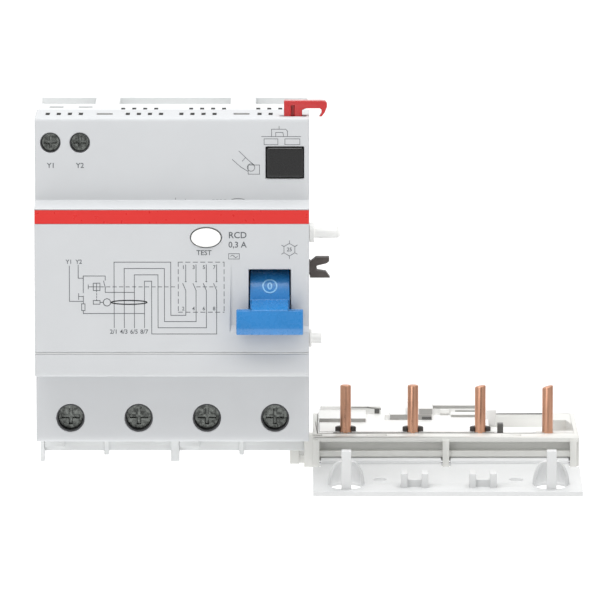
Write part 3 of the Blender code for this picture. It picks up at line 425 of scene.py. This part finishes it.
def set_back(piece, before, by, after=-math.inf):
    """Moves the part of a piece whose y lies between two limits back by a distance, all in millimetres."""
    mesh = piece.data
    place = np.empty(len(mesh.vertices) * 3)
    mesh.vertices.foreach_get("co", place)
    place = place.reshape(-1, 3)
    front = (place[:, 1] < before * MM) & (place[:, 1] > after * MM)
    place[front, 1] += by * MM
    mesh.vertices.foreach_set("co", place.ravel())
    mesh.update()


def dress(name, looks):
    """Gives a CAD node that stays in view its finish."""
    mesh = frame["nodes"][name].data
    mesh.materials.clear()
    mesh.materials.append(looks[slot_of(name)])
    smooth(mesh)


# ---------------------------------------------------------------- shapes worked out as arrays


def ring_faces(rings, sides):
    """Quads between rings of points numbered ring by ring; each ring is closed on itself."""
    ring = np.arange(rings - 1)[:, None]
    point = np.arange(sides)[None, :]
    after = (point + 1) % sides
    corners = (
        ring * sides + point, ring * sides + after,
        (ring + 1) * sides + after, (ring + 1) * sides + point)
    return np.stack(np.broadcast_arrays(*corners), -1).reshape(-1, 4)


def rounded_path(corners, radius, steps=8):
    """Straight runs joined by quarter arcs.

    Each inner corner is replaced by the points c + r (a + b) - r (a cos t + b sin t), where a and b
    point from the corner towards its neighbours and t runs over a quarter turn.
    """
    corners = np.asarray(corners, float)
    points = [corners[:1]]
    turn = np.linspace(0, math.pi / 2, steps)[:, None]
    for before, here, after in zip(corners[:-2], corners[1:-1], corners[2:]):
        a = (before - here) / np.linalg.norm(before - here)
        b = (after - here) / np.linalg.norm(after - here)
        points.append(here + radius * (a + b) - radius * (b * np.cos(turn) + a * np.sin(turn)))
    points.append(corners[-1:])
    return np.concatenate(points)


def swept_bar(path, radius, tip, sides=28):
    """A round bar along a path: point = p + r (u cos t + v sin t), with u carried along by projection.

    The start has a chamfer of the given height: the radius there falls by the same amount.
    """
    path = np.asarray(path, float)
    along = np.gradient(path, axis=0)
    along /= np.linalg.norm(along, axis=1)[:, None]
    across = np.empty_like(path)
    last = np.array([1.0, 0.0, 0.0])
    for index, direction in enumerate(along):
        last = last - direction * (last @ direction)
        last /= np.linalg.norm(last)
        across[index] = last
    third = np.cross(along, across)
    rings = np.array([0.0, 0.0, tip * 0.35, tip])
    shrink = np.array([radius, tip, tip * 0.35, 0.0])
    size = np.concatenate([radius - shrink, np.full(len(path) - 1, radius), [0.0]])
    path = np.concatenate([path[:1] + along[:1] * rings[:, None], path[1:]])
    across = np.concatenate([np.repeat(across[:1], 4, 0), across[1:]])
    third = np.concatenate([np.repeat(third[:1], 4, 0), third[1:]])
    path = np.concatenate([path, path[-1:]])
    across = np.concatenate([across, across[-1:]])
    third = np.concatenate([third, third[-1:]])
    turn = np.linspace(0, 2 * math.pi, sides, endpoint=False)
    ring = across[:, None] * np.cos(turn)[:, None] + third[:, None] * np.sin(turn)[:, None]
    points = path[:, None] + ring * size[:, None, None]
    return points.reshape(-1, 3), ring_faces(len(path), sides)[:, ::-1]


def slabs(limits):
    """Closed boxes from rows of (x0, x1, y0, y1, z0, z1) in millimetres.

    Each corner takes one limit of each pair.
    """
    limits = np.asarray(limits, float)
    picks = np.array([
        (0, 2, 4), (1, 2, 4), (1, 3, 4), (0, 3, 4),
        (0, 2, 5), (1, 2, 5), (1, 3, 5), (0, 3, 5)])
    sides = np.array([
        (3, 2, 1, 0), (4, 5, 6, 7), (0, 1, 5, 4),
        (1, 2, 6, 5), (2, 3, 7, 6), (3, 0, 4, 7)])
    points = limits[:, picks].reshape(-1, 3) * MM
    faces = (sides[None] + 8 * np.arange(len(limits))[:, None, None]).reshape(-1, 4)
    return points, faces


def put_slabs(name, limits, body, slot, looks, edge, look=None):
    """Adds moulded steps, or slabs of painted shade, as one piece with rounded edges."""
    mesh = mesh_from(name, *slabs(limits))
    smooth(mesh)
    return rounded_edges(put(name, mesh, body, slot, looks, look=look), edge)


def tube(x, z, outer, inner, front, back, sides=48):
    """A short sleeve: its four rings are joined into a closed wall."""
    turn = np.linspace(0, 2 * math.pi, sides, endpoint=False)
    rings = []
    for reach, y in ((outer, front), (outer, back), (inner, back), (inner, front), (outer, front)):
        rings.append(np.stack([x + reach * np.cos(turn), np.full(sides, y), z + reach * np.sin(turn)], -1))
    return np.concatenate(rings) * MM, ring_faces(5, sides)


def closed(name, points, faces, dist=ARRAY_WELD):
    """A mesh whose coincident points are merged and whose faces point outwards."""
    shape = bmesh.new()
    shape.from_mesh(mesh_from(name, points, faces))
    bmesh.ops.remove_doubles(shape, verts=shape.verts, dist=dist)
    bmesh.ops.dissolve_degenerate(shape, edges=shape.edges, dist=dist / 2)
    bmesh.ops.recalc_face_normals(shape, faces=shape.faces)
    mesh = bpy.data.meshes.new(name)
    shape.to_mesh(mesh)
    shape.free()
    smooth(mesh)
    return mesh


def put_sleeve(name, middle, sleeve, looks):
    """Adds the sleeve that stands round a screw; its dark plastic paints the shade inside the hole."""
    mesh = closed(name, *tube(middle, *sleeve))
    put(name, mesh, "housing", "inner_plastic", looks)


def helix(centre, low, high, radius, turns, per_turn=24, flat=0.6):
    """A helix along Y whose end turns are wound flat, round a centre given as (x, z).

    Reach along Y = low + (high - low) s, where s is the share of turns passed, held still for a
    flat part of a turn at both ends.
    """
    share = np.linspace(0, 1, int(turns * per_turn) + 1)
    angle = 2 * math.pi * turns * share
    rise = np.clip((share * turns - flat) / (turns - 2 * flat), 0, 1)
    along = low + (high - low) * rise
    return np.stack([centre[0] + radius * np.cos(angle), along, centre[1] + radius * np.sin(angle)], -1)


# ---------------------------------------------------------------- printing


def flat_on(y):
    """Lays print on a face that looks to the front: across is X, up is Z, height is towards the front."""
    def lay(across, up, height):
        return np.stack([across * MM, np.full_like(across, y * MM) - height, up * MM], -1)
    return lay


def around(x, y, z, radius, lift):
    """Lays print on the toggle's barrel: up becomes an angle, up / radius, from the given lift."""
    def lay(across, up, height):
        angle = math.radians(lift) + up / radius
        reach = radius * MM + height
        front = y * MM - reach * np.cos(angle)
        return np.stack([(x + across) * MM, front, z * MM + reach * np.sin(angle)], -1)
    return lay


def line(*points):
    """The segments that join points in order, as rows of two ends."""
    points = np.asarray(points, float)
    return np.concatenate([points[:-1], points[1:]], 1)


def frame_line(x0, z0, x1, z1):
    """The four sides of a rectangle."""
    return line((x0, z0), (x1, z0), (x1, z1), (x0, z1), (x0, z0))


def oval(x, z, across, up, steps):
    """An ellipse: x + a cos t, z + b sin t."""
    turn = np.radians(np.linspace(0.0, 360.0, steps + 1))
    return line(*np.stack([x + across * np.cos(turn), z + up * np.sin(turn)], -1))


def dashes(x0, z0, x1, z1, dash, gap):
    """Equal dashes along a straight line."""
    ends = np.array([(x0, z0), (x1, z1)], float)
    length = np.linalg.norm(ends[1] - ends[0])
    start = np.arange(0, length, dash + gap)[:, None]
    end = np.minimum(start + dash, length)
    step = (ends[1] - ends[0]) / length
    return np.concatenate([ends[0] + start * step, ends[0] + end * step], 1)


def printed(segments, width, height, lay):
    """Thin closed slabs along segments: each is a box half a width past both ends, laid on a surface."""
    start, end = segments[:, None, :2], segments[:, None, 2:]
    length = np.maximum(np.linalg.norm(end - start, axis=-1, keepdims=True), 1e-6)
    step = (end - start) / length
    side = np.stack([-step[..., 1], step[..., 0]], -1) * width / MM / 2
    start, end = start - step * width / MM / 2, end + step * width / MM / 2
    cuts = np.array([0.0, 1.0])[None, :, None]
    middle = start + (end - start) * cuts
    ring = np.stack([middle - side, middle + side, middle + side, middle - side], 2)
    rise = np.broadcast_to(np.array([0.0, 0.0, height, height]), ring.shape[:3])
    points = lay(ring[..., 0], ring[..., 1], rise).reshape(-1, 3)
    caps = np.array([[0, 1, 2, 3], [7, 6, 5, 4]])
    one = np.concatenate([ring_faces(2, 4), caps])
    faces = (one[None] + 8 * np.arange(len(segments))[:, None, None]).reshape(-1, 4)
    return points, faces


def lettering(words, height, lay):
    """Raised letters for (text, x, z, cap height, alignment) rows, as one mesh laid on a surface."""
    cap_share, bolder, half_depth = 0.7, 0.018, 0.5
    shape = bmesh.new()
    for text, x, z, cap, align in words:
        curve = bpy.data.curves.new("letters", "FONT")
        curve.body = text
        curve.size = cap / cap_share
        curve.align_x = align
        curve.align_y = "CENTER"
        curve.resolution_u = 3
        curve.offset = cap * bolder
        curve.extrude = half_depth
        source = bpy.data.objects.new("letters", curve)
        bpy.context.scene.collection.objects.link(source)
        graph = bpy.context.evaluated_depsgraph_get()
        flat = bpy.data.meshes.new_from_object(source.evaluated_get(graph))
        place = np.empty(len(flat.vertices) * 3)
        flat.vertices.foreach_get("co", place)
        place = place.reshape(-1, 3)
        place = lay(place[:, 0] + x, place[:, 1] + z, (place[:, 2] + half_depth) * height)
        flat.vertices.foreach_set("co", place.ravel())
        shape.from_mesh(flat)
        bpy.data.objects.remove(source, do_unlink=True)
        bpy.data.curves.remove(curve)
    bmesh.ops.remove_doubles(shape, verts=shape.verts, dist=LETTER_WELD)
    bmesh.ops.recalc_face_normals(shape, faces=shape.faces)
    mesh = bpy.data.meshes.new("letters")
    shape.to_mesh(mesh)
    shape.free()
    return mesh


def put_print(name, segments, sizes, lay, body, looks, width=1.0):
    """Adds one piece of printed lines; width is a share of the usual line."""
    points, faces = printed(segments, sizes.print_line * width, sizes.print_height, lay)
    mesh = closed(name, points, faces, dist=PRINT_WELD)
    return put(name, mesh, body, "ink", looks)


# ---------------------------------------------------------------- operators


def looks_now():
    """The finishes, made once and then kept."""
    if not looks_now.kept:
        looks_now.kept.update(finishes(bpy.context.scene.device_colours))
    return looks_now.kept


looks_now.kept = {}


class DEVICE_OT_shells(bpy.types.Operator):
    """Front cover, rear base, latches and stripe, with their mould radii, and dark slabs that paint the shade
    behind their openings.
    """

    bl_idname = "device.shells"
    bl_label = "Housing shells"

    def execute(self, context):
        sizes, looks = context.scene.device_sizes, looks_now()
        for name, share in (
                ("front_cover", 1.0), ("rear_base", 0.7), ("rail_latch_1", 1.0), ("rail_latch_2", 1.0),
                ("accent_stripe", 0.3)):
            softened(name, sizes.shell_edge * share, looks)

        # Dark slabs behind the vent slots paint the shade inside them.
        vent_shade_slabs = []
        for runs, limits in VENT_ROWS:
            for start, count in runs:
                for step in range(count):
                    x = start + VENT_PITCH * step - HALF_WIDTH
                    vent_shade_slabs.append((x - VENT_HALF, x + VENT_HALF, *limits))
        put_slabs("vent_painted_shade", vent_shade_slabs, "housing", "inner_plastic", looks, 0.02 * MM, "deep_shade")
        fill = [(-34.97, 34.97, -63.46, -63.2, -15.74, -15.41)]
        put_slabs("nose_line_fill", fill, "housing", "base_plastic", looks, 0.04 * MM)
        # Grey slabs in the snap windows paint the shade seen through them.
        snap_shade_slabs = [(x - SNAP_HALF, x + SNAP_HALF, -48.1, -47.72, 41.6, 44.25) for x in SNAP_WINDOWS]
        put_slabs("snap_window_painted_shade", snap_shade_slabs, "housing", "inner_plastic", looks, 0.02 * MM, "shade")
        return {"FINISHED"}


class DEVICE_OT_diagram(bpy.types.Operator):
    """Generic wiring diagram of a four-pole device, printed on the nose."""

    bl_idname = "device.diagram"
    bl_label = "Wiring diagram"

    def execute(self, context):
        sizes, looks = context.scene.device_sizes, looks_now()
        lines = []
        for pole in range(POLES):
            left = -14.72 + 2.577 * pole
            top = 7.89 - 1.63 * pole
            middle = -0.28 - 1.627 * pole
            low = -5.79 - 1.6 * pole
            right = OUTPUT_X + OUTPUT_PITCH * pole
            lines.append(line(
                (left, -8.97), (left, top), (middle, top), (middle, low), (right, low), (right, 0.6)))
            lines.append(line((right, 0.6), (right - 0.76, 2.4)))
            lines.append(line((right, 7.2), (right, 2.83)))
            lines.append(line((right - 0.14, 2.9), (right + 0.14, 2.9)))
        lines.append(line((-26.11, 6.9), (-26.11, -2.19), (-22.58, -2.19)))
        lines.append(line((-23.86, 7.12), (-23.86, 3.77), (-22.58, 3.77)))
        lines.append(line((-16.98, 3.26), (-16.98, 4.33), (-22.58, 4.33), (-22.58, 0.04)))
        lines.append(line((-22.58, -0.82), (-22.58, -2.83)))
        lines.append(frame_line(-23.01, -4.55, -22.16, -2.83))
        lines.append(line((-22.58, -4.55), (-22.58, -5.32), (-6.99, -5.32)))
        lines.append(line((-17.4, 3.04), (-16.98, 1.33), (-16.98, 0.13), (-9.54, 0.13)))
        lines.append(frame_line(-20.03, 0.6, -18.33, 2.48))
        lines.append(line((-20.03, 1.54), (-18.33, 1.54)))
        lines.append(line((-19.18, 0.6), (-19.18, 2.48)))
        lines.append(line((-21.31, 2.06), (-21.31, 1.03)))
        lines.append(line((-21.31, 1.54), (-20.03, 1.54)))
        lines.append(frame_line(-20.03, -2.92, -18.33, -1.98))
        lines.append(line((-18.33, -2.45), (-17.48, -2.45)))
        lines.append(oval(-16.55, -2.45, 0.93, 0.93, 24))
        lines.append(line((-23.77, -0.18), (-23.77, -1.68)))
        lines.append(line((-23.77, -0.95), (-22.58, -0.95)))
        lines.append(dashes(-18.33, 1.54, 1.4, 1.54, 0.9, 0.75))
        lines.append(dashes(6.3, 1.54, 11.4, 1.54, 0.9, 0.75))
        lines.append(dashes(-19.18, 0.6, -19.18, -1.98, 0.4, 0.35))
        left, right, top, foot = 1.63, 13.31, 7.89, -4.98
        for ends in (
                (left, top, right, top), (left, foot, right, foot),
                (left, top, left, foot), (right, top, right, foot)):
            lines.append(dashes(*ends, 1.1, 0.8))
        lay = flat_on(NOSE_FACE)
        put_print("printed_diagram", np.concatenate(lines), sizes, lay, "housing", looks)
        ring = np.concatenate([oval(-10.9, -2.45, 4.55, 0.55, 60), oval(-10.9, -2.45, 4.45, 0.45, 60)])
        put_print("printed_sensor_ring", ring, sizes, lay, "housing", looks, width=1.2)
        return {"FINISHED"}


class DEVICE_OT_labels(bpy.types.Operator):
    """Plain words, terminal numbers and generic pictograms on the nose and the upper deck."""

    bl_idname = "device.labels"
    bl_label = "Labels and pictograms"

    def execute(self, context):
        sizes, looks = context.scene.device_sizes, looks_now()
        words = [
            ("TEST", 8.2, 10.25, 1.25, "CENTER"),
            ("RCD", 14.4, 14.75, 1.6, "LEFT"),
            ("0,3 A", 14.4, 12.3, 1.5, "LEFT"),
            ("25", FROST_X, FROST_Z, 0.95, "CENTER"),
            ("Y1", -26.2, 7.95, 1.05, "CENTER"),
            ("Y2", -23.7, 7.95, 1.05, "CENTER"),
        ]
        for pole in range(POLES):
            right = OUTPUT_X + OUTPUT_PITCH * pole
            odd, even = 2 * pole + 1, 2 * pole + 2
            words.append((str(odd), right - 0.6, 6.55, 0.95, "CENTER"))
            words.append((str(even), right - 0.65, -4.1, 0.95, "CENTER"))
            words.append(("%d/%d" % (even, odd), -14.85 + 2.59 * pole, -10.05, 1.1, "CENTER"))
        nose = lettering(words, sizes.print_height, flat_on(NOSE_FACE))
        put("printed_nose_letters", nose, "housing", "ink", looks)
        deck = lettering(
            [("Y1", -30.86, 31.9, 1.3, "CENTER"), ("Y2", -23.46, 31.9, 1.3, "CENTER")],
            sizes.print_height, flat_on(UPPER_DECK))
        put("printed_deck_letters", deck, "housing", "ink", looks)

        wave = np.linspace(0, 1, 13)
        signs = [
            frame_line(14.47, 8.7, 17.2, 10.07),
            line(*np.stack([15.0 + 1.7 * wave, 9.39 + 0.28 * np.sin(2 * math.pi * wave)], -1)),
        ]
        near, far = 1.6, 2.3
        for side in range(6):
            turn = math.radians(60 * side + 30)
            after = math.radians(60 * side + 90)
            corner = (FROST_X + near * math.cos(turn), FROST_Z + near * math.sin(turn))
            signs.append(line(corner, (FROST_X + near * math.cos(after), FROST_Z + near * math.sin(after))))
            signs.append(line(corner, (FROST_X + far * math.cos(turn), FROST_Z + far * math.sin(turn))))
        signs = np.concatenate(signs)
        put_print("printed_nose_signs", signs, sizes, flat_on(NOSE_FACE), "housing", looks, 0.8)

        deck_signs = np.concatenate([
            line((17.09, 35.63), (19.86, 32.98), (20.9, 32.15)),
            line((15.39, 33.49), (17.52, 31.57), (19.3, 30.5)),
            line((17.94, 33.07), (18.7, 33.9)),
            oval(20.16, 31.44, 0.94, 0.94, 24),
            frame_line(19.43, 29.73, 22.33, 32.08),
            line((25.4, 39.39), (25.4, 41.27), (29.02, 41.27), (29.45, 40.76), (29.45, 39.39)),
            line((26.47, 39.39), (26.47, 40.42), (28.3, 40.42), (28.47, 39.39)),
            line((27.32, 42.04), (27.32, 41.27)),
            line((22.84, 39.39), (32.86, 39.39)),
            frame_line(23.5, 37.3, 27.0, 38.8),
            frame_line(28.8, 37.3, 32.6, 38.8),
            line((0.9, 22.5), (0.9, 23.6)),
            line((0.5, 23.05), (1.3, 23.05)),
            line((2.8, 22.8), (3.4, 22.8), (3.4, 23.3)),
            line((4.0, 22.8), (4.7, 22.8)),
            dashes(6.1, 23.0, 9.0, 23.0, 0.5, 0.4),
            oval(16.85, 22.85, 2.0, 0.6, 30),
        ])
        put_print("printed_deck_signs", deck_signs, sizes, flat_on(UPPER_DECK), "housing", looks, 0.8)
        blocks = dashes(10.5, 23.0, 13.9, 23.0, 0.12, 0.85)
        put_print("printed_deck_blocks", blocks, sizes, flat_on(UPPER_DECK), "housing", looks, 3.0)
        return {"FINISHED"}


class DEVICE_OT_toggle(bpy.types.Operator):
    """Blue toggle with its two raised marks, and the shaft it turns on."""

    bl_idname = "device.toggle"
    bl_label = "Toggle"

    def execute(self, context):
        sizes, looks = context.scene.device_sizes, looks_now()
        softened("toggle", sizes.shell_edge, looks, steps=3)
        dress("toggle_shaft", looks)
        lay = around(*TOGGLE_AXIS, TOGGLE_RADIUS, TOGGLE_LIFT)
        ring = oval(0.0, 0.0, 1.75, 1.75, 48)
        marks = np.concatenate([ring, oval(0.0, 0.0, 0.45, 0.8, 24)])
        points, faces = printed(marks, 0.34 * MM, 0.12 * MM, lay)
        mesh = closed("toggle_ring", points, faces, dist=PRINT_WELD)
        put("toggle_ring", mesh, "toggle", "toggle_blue", looks, look="toggle_mark")
        return {"FINISHED"}


class DEVICE_OT_buttons(bpy.types.Operator):
    """Oval test button and black lock button."""

    bl_idname = "device.buttons"
    bl_label = "Buttons"

    def execute(self, context):
        sizes, looks = context.scene.device_sizes, looks_now()
        softened("test_button", sizes.shell_edge, looks, steps=3)
        softened("lock_button", sizes.shell_edge * 2.4, looks, steps=4)
        return {"FINISHED"}


class DEVICE_OT_terminals(bpy.types.Operator):
    """Screws, sleeves, clamp cages and conductors of the four poles, and the two pilot terminals."""

    bl_idname = "device.terminals"
    bl_label = "Terminals"

    def execute(self, context):
        sizes, looks = context.scene.device_sizes, looks_now()
        for pole in range(1, POLES + 1):
            screw = softened("terminal_screw_%d" % pole, sizes.metal_edge, looks)
            set_back(screw, -50.9, 0.8)
            set_back(screw, -49.95, 0.45, after=-50.4)
            low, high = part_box("terminal_screw_%d" % pole)
            middle = (low.x + high.x) / 2 / MM
            put_sleeve("terminal_sleeve_%d" % pole, middle, TERMINAL_SLEEVE, looks)
            softened("clamp_cage_%d" % pole, sizes.metal_edge, looks)
            dress("conductor_%d" % pole, looks)
        for pilot in (1, 2):
            softened("pilot_screw_%d" % pilot, sizes.metal_edge, looks)
            low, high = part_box("pilot_screw_%d" % pilot)
            middle = (low.x + high.x) / 2 / MM
            put_sleeve("pilot_sleeve_%d" % pilot, middle, PILOT_SLEEVE, looks)
            softened("pilot_clamp_%d" % pilot, sizes.metal_edge, looks)
        return {"FINISHED"}


class DEVICE_OT_coupling(bpy.types.Operator):
    """Fork, guide pegs and red locking hook at the side of the housing."""

    bl_idname = "device.coupling"
    bl_label = "Side coupling"

    def execute(self, context):
        sizes, looks = context.scene.device_sizes, looks_now()
        for name in ("trip_fork", "guide_peg_upper", "guide_peg_lower", "locking_hook"):
            softened(name, sizes.tray_edge, looks)
        dress("hook_pin", looks)
        return {"FINISHED"}


class DEVICE_OT_inside(bpy.types.Operator):
    """Sensor core, winding, relay, board, the buttons' springs and the rest of what the shell holds."""

    bl_idname = "device.inside"
    bl_label = "Inside"

    def execute(self, context):
        sizes, looks = context.scene.device_sizes, looks_now()
        for name in ("sensor_core", "chassis", "trip_relay", "trip_plunger", "test_resistor"):
            softened(name, sizes.metal_edge, looks)
        for name in ("secondary_winding", "circuit_board"):
            dress(name, looks)
        wire = SPRING_WIRE * MM
        for name, joint, turns, press in SPRINGS:
            low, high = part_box(name)
            middle = (low + high) / 2
            reach = (high.x - low.x) / 2 - wire
            path = helix((middle.x, middle.z), low.y + wire, high.y - wire, reach, turns)
            points, faces = swept_bar(path, wire, tip=0.05 * MM)
            mesh = closed(name + "_wound", points, faces)
            spring = put(name + "_wound", mesh, body_holding(name), slot_of(name), looks, replaces=(name,))
            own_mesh(spring)
        return {"FINISHED"}


class DEVICE_OT_tray(bpy.types.Operator):
    """Pin tray with its terraces, painted shade in its openings, the stepped cover, the collars and the hinge
    rod.
    """

    bl_idname = "device.tray"
    bl_label = "Pin tray"

    def execute(self, context):
        sizes, looks = context.scene.device_sizes, looks_now()
        softened("pin_tray", sizes.tray_edge, looks, joined=False)
        softened("tray_cover", sizes.tray_edge, looks)
        for number in (1, 2, 3):
            softened("pin_collar_%d" % number, sizes.metal_edge, looks)
        dress("hinge_rod", looks)

        terraces = [
            (38.0, 54.0, 1.0, 2.6, -41.5, -39.2),
            (60.7, 67.5, -9.0, 2.6, -41.5, -38.15),
            (67.6, 81.2, -0.55, 2.5, -39.9, -38.6),
            (54.9, 56.1, -9.0, -6.0, -41.5, -39.9),
            (69.5, 71.9, -1.2, -0.5, -40.8, -39.7),
            (82.4, 98.8, -26.1, 3.5, -45.4, -45.1),
        ]
        put_slabs("tray_terraces", terraces, "pin_tray", "cover_plastic", looks, sizes.tray_edge)
        # Grey slabs on the step faces paint the shade inside the tray's slots.
        slot_shade_slabs = [
            (37.7, 49.8, -13.06, -12.9, -41.25, -40.3),
            (56.3, 67.2, -9.1, -8.95, -41.2, -39.85),
            (63.9, 67.4, -9.07, -8.95, -39.8, -38.3),
            (72.4, 81.1, -4.66, -4.5, -41.25, -40.55),
            (67.7, 80.9, -0.62, -0.5, -39.55, -38.75),
            (73.5, 80.9, -0.66, -0.55, -40.55, -40.0),
            (41.3, 83.2, -29.28, -29.1, -41.6, -41.4),
        ]
        put_slabs("tray_slot_painted_shade", slot_shade_slabs, "pin_tray", "collar_plastic", looks, 0.03 * MM, "shade")
        # Dark slabs paint the deeper shade inside the tray's hollows.
        hollow_shade_slabs = [
            (64.6, 67.2, -9.14, -9.05, -41.2, -40.4),
            (84.3, 85.8, -16.0, -13.2, -44.6, -41.3),
            (52.3, 53.6, 0.85, 1.05, -41.1, -39.9),
        ]
        put_slabs("tray_hollow_painted_shade", hollow_shade_slabs, "pin_tray", "collar_plastic", looks, 0.05 * MM, "deep_shade")
        # A thin grey strip paints the shade in the slot at the back of the tray.
        rear = line((46.4, -39.5), (50.6, -39.5), (53.9, -39.95))
        points, faces = printed(rear, 0.4 * MM, 0.1 * MM, flat_on(1.0))
        mesh = closed("tray_rear_painted_shade", points, faces, dist=PRINT_WELD)
        put("tray_rear_painted_shade", mesh, "pin_tray", "collar_plastic", looks, look="shade")
        return {"FINISHED"}


class DEVICE_OT_pins(bpy.types.Operator):
    """Drawn copper pins with chamfered tips, bent into their runs along the trough."""

    bl_idname = "device.pins"
    bl_label = "Copper pins"

    def execute(self, context):
        sizes, looks = context.scene.device_sizes, looks_now()
        for number in range(1, POLES + 1):
            name = "copper_pin_%d" % number
            low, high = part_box(name)
            radius = sizes.pin_radius
            x = high.x - radius
            back = low.y + radius
            run_z = low.z + radius
            run_y = high.y - radius
            corners = [(x, back, high.z), (x, back, run_z), (x, run_y, run_z), (low.x, run_y, run_z)]
            path = rounded_path(corners, sizes.pin_bend)
            points, faces = swept_bar(path, radius, tip=PIN_CHAMFER * MM)
            slant = SHEARED_TIPS.get(number, 0.0) * MM
            end = points[:, 2] > high.z - TIP_REACH * MM
            points[end, 2] -= slant * (1 - (points[end, 0] - x) / radius) / 2
            mesh = closed(name + "_drawn", points, faces)
            put(name + "_drawn", mesh, "pin_tray", "copper", looks, (name,))
        return {"FINISHED"}


class DEVICE_OT_screw_cover(bpy.types.Operator):
    """Folding screw cover with its guides, clips and sealing holes."""

    bl_idname = "device.screw_cover"
    bl_label = "Screw cover"

    def execute(self, context):
        sizes, looks = context.scene.device_sizes, looks_now()
        softened("screw_cover", sizes.tray_edge, looks)
        return {"FINISHED"}


class DEVICE_OT_stage(bpy.types.Operator):
    """Plain white studio: floor, soft light from above and the camera."""

    bl_idname = "device.stage"
    bl_label = "Studio"

    def execute(self, context):
        scene = context.scene
        drop = cad_box[0][2] - scene.device_sizes.floor_drop
        half = FLOOR_HALF
        points = np.array([
            (-half, -half, drop), (half, -half, drop), (half, half, drop), (-half, half, drop)])
        mesh = mesh_from("studio_floor", points, np.array([[0, 1, 2, 3]]))
        floor = bpy.data.objects.new("studio_floor", mesh)
        scene.collection.objects.link(floor)
        # Back-lit opal acrylic: a shadowless white that glows a little.
        paper = finish("back_lit_opal_acrylic", "#FBFBFB", 0.8, 1.0, 0.01, mottle=0.002, cloud=60)
        glow = paper.node_tree.nodes["Principled BSDF"]
        glow.inputs["Emission Color"].default_value = (1.0, 1.0, 1.0, 1.0)
        glow.inputs["Emission Strength"].default_value = 0.4
        mesh.materials.append(paper)

        # A white room that is darker to both sides and behind the camera.
        world = bpy.data.worlds.new("white_studio")
        world.use_nodes = True
        tree = world.node_tree
        place = node(tree, "TexCoord")
        parts = node(tree, "SeparateXYZ", {"Vector": place.outputs["Generated"]})
        wide = node(tree, "Math", {0: parts.outputs["X"]}, operation="ABSOLUTE")
        sides = node(tree, "MapRange", {
            "Value": wide.outputs[0], "From Min": 0.35, "From Max": 0.95, "To Min": 1.0, "To Max": 0.45})
        room = node(tree, "MapRange", {
            "Value": parts.outputs["Y"], "From Min": -0.97, "From Max": -0.6, "To Min": 0.2, "To Max": 1.0})
        both = node(tree, "Math", {
            0: sides.outputs["Result"], 1: room.outputs["Result"]}, operation="MULTIPLY")
        tree.links.new(both.outputs[0], tree.nodes["Background"].inputs["Strength"])
        tree.nodes["Background"].inputs["Color"].default_value = (1.0, 1.0, 1.0, 1.0)
        scene.world = world

        # Name, place, width and depth, all in metres, and power in watts.
        lamps = (
            ("top_softbox", (0.05, -0.25, 0.9), (1.1, 0.9), 8.6),
            ("front_softbox", (-0.6, -1.3, 0.5), (0.7, 0.7), 2.6),
        )
        target = np.array([0.03, -0.03, 0.0])
        for name, spot, (wide_side, deep_side), power in lamps:
            light = bpy.data.lights.new(name, "AREA")
            light.shape = "RECTANGLE"
            light.size = wide_side
            light.size_y = deep_side
            light.energy = power
            lamp = bpy.data.objects.new(name, light)
            lamp.location = spot
            aim = target - np.array(spot)
            flat = math.hypot(aim[0], aim[1])
            lamp.rotation_euler = (math.atan2(flat, -aim[2]), 0.0, math.atan2(-aim[0], aim[1]))
            scene.collection.objects.link(lamp)

        lens = bpy.data.cameras.new("camera")
        lens.sensor_width = 36.0
        lens.lens = CAMERA_LENS
        lens.clip_end = 50.0
        camera = bpy.data.objects.new("camera", lens)
        camera.location = CAMERA_PLACE
        camera.rotation_euler = (math.radians(CAMERA_TILT), 0.0, 0.0)
        scene.collection.objects.link(camera)
        scene.camera = camera
        scene.view_settings.view_transform = "Standard"
        return {"FINISHED"}


class DEVICE_PT_panel(bpy.types.Panel):
    """Sidebar panel with the sizes, the colours and a button for each piece."""

    bl_idname = "DEVICE_PT_panel"
    bl_label = "Residual current device"
    bl_space_type = "VIEW_3D"
    bl_region_type = "UI"
    bl_category = "Device"

    def draw(self, context):
        for group in (context.scene.device_sizes, context.scene.device_colours):
            for name in group.bl_rna.properties.keys():
                if name not in ("rna_type", "name"):
                    self.layout.prop(group, name)
        for step in STEPS:
            self.layout.operator(step.bl_idname)


STEPS = (
    DEVICE_OT_stage,
    DEVICE_OT_shells,
    DEVICE_OT_diagram,
    DEVICE_OT_labels,
    DEVICE_OT_toggle,
    DEVICE_OT_buttons,
    DEVICE_OT_terminals,
    DEVICE_OT_coupling,
    DEVICE_OT_inside,
    DEVICE_OT_tray,
    DEVICE_OT_pins,
    DEVICE_OT_screw_cover,
)
CLASSES = (DEVICE_PG_sizes, DEVICE_PG_colours, *STEPS, DEVICE_PT_panel)


def register():
    """Registers the property groups, the operators and the panel."""
    for group in CLASSES:
        bpy.utils.register_class(group)
    bpy.types.Scene.device_sizes = PointerProperty(type=DEVICE_PG_sizes)
    bpy.types.Scene.device_colours = PointerProperty(type=DEVICE_PG_colours)


def unregister():
    """Takes them out again, in the reverse order."""
    del bpy.types.Scene.device_colours
    del bpy.types.Scene.device_sizes
    for group in reversed(CLASSES):
        bpy.utils.unregister_class(group)


def main():
    """Registers the classes and runs every step."""
    register()
    for step in STEPS:
        group, name = step.bl_idname.split(".")
        getattr(getattr(bpy.ops, group), name)()


if __name__ == "__main__":
    main()
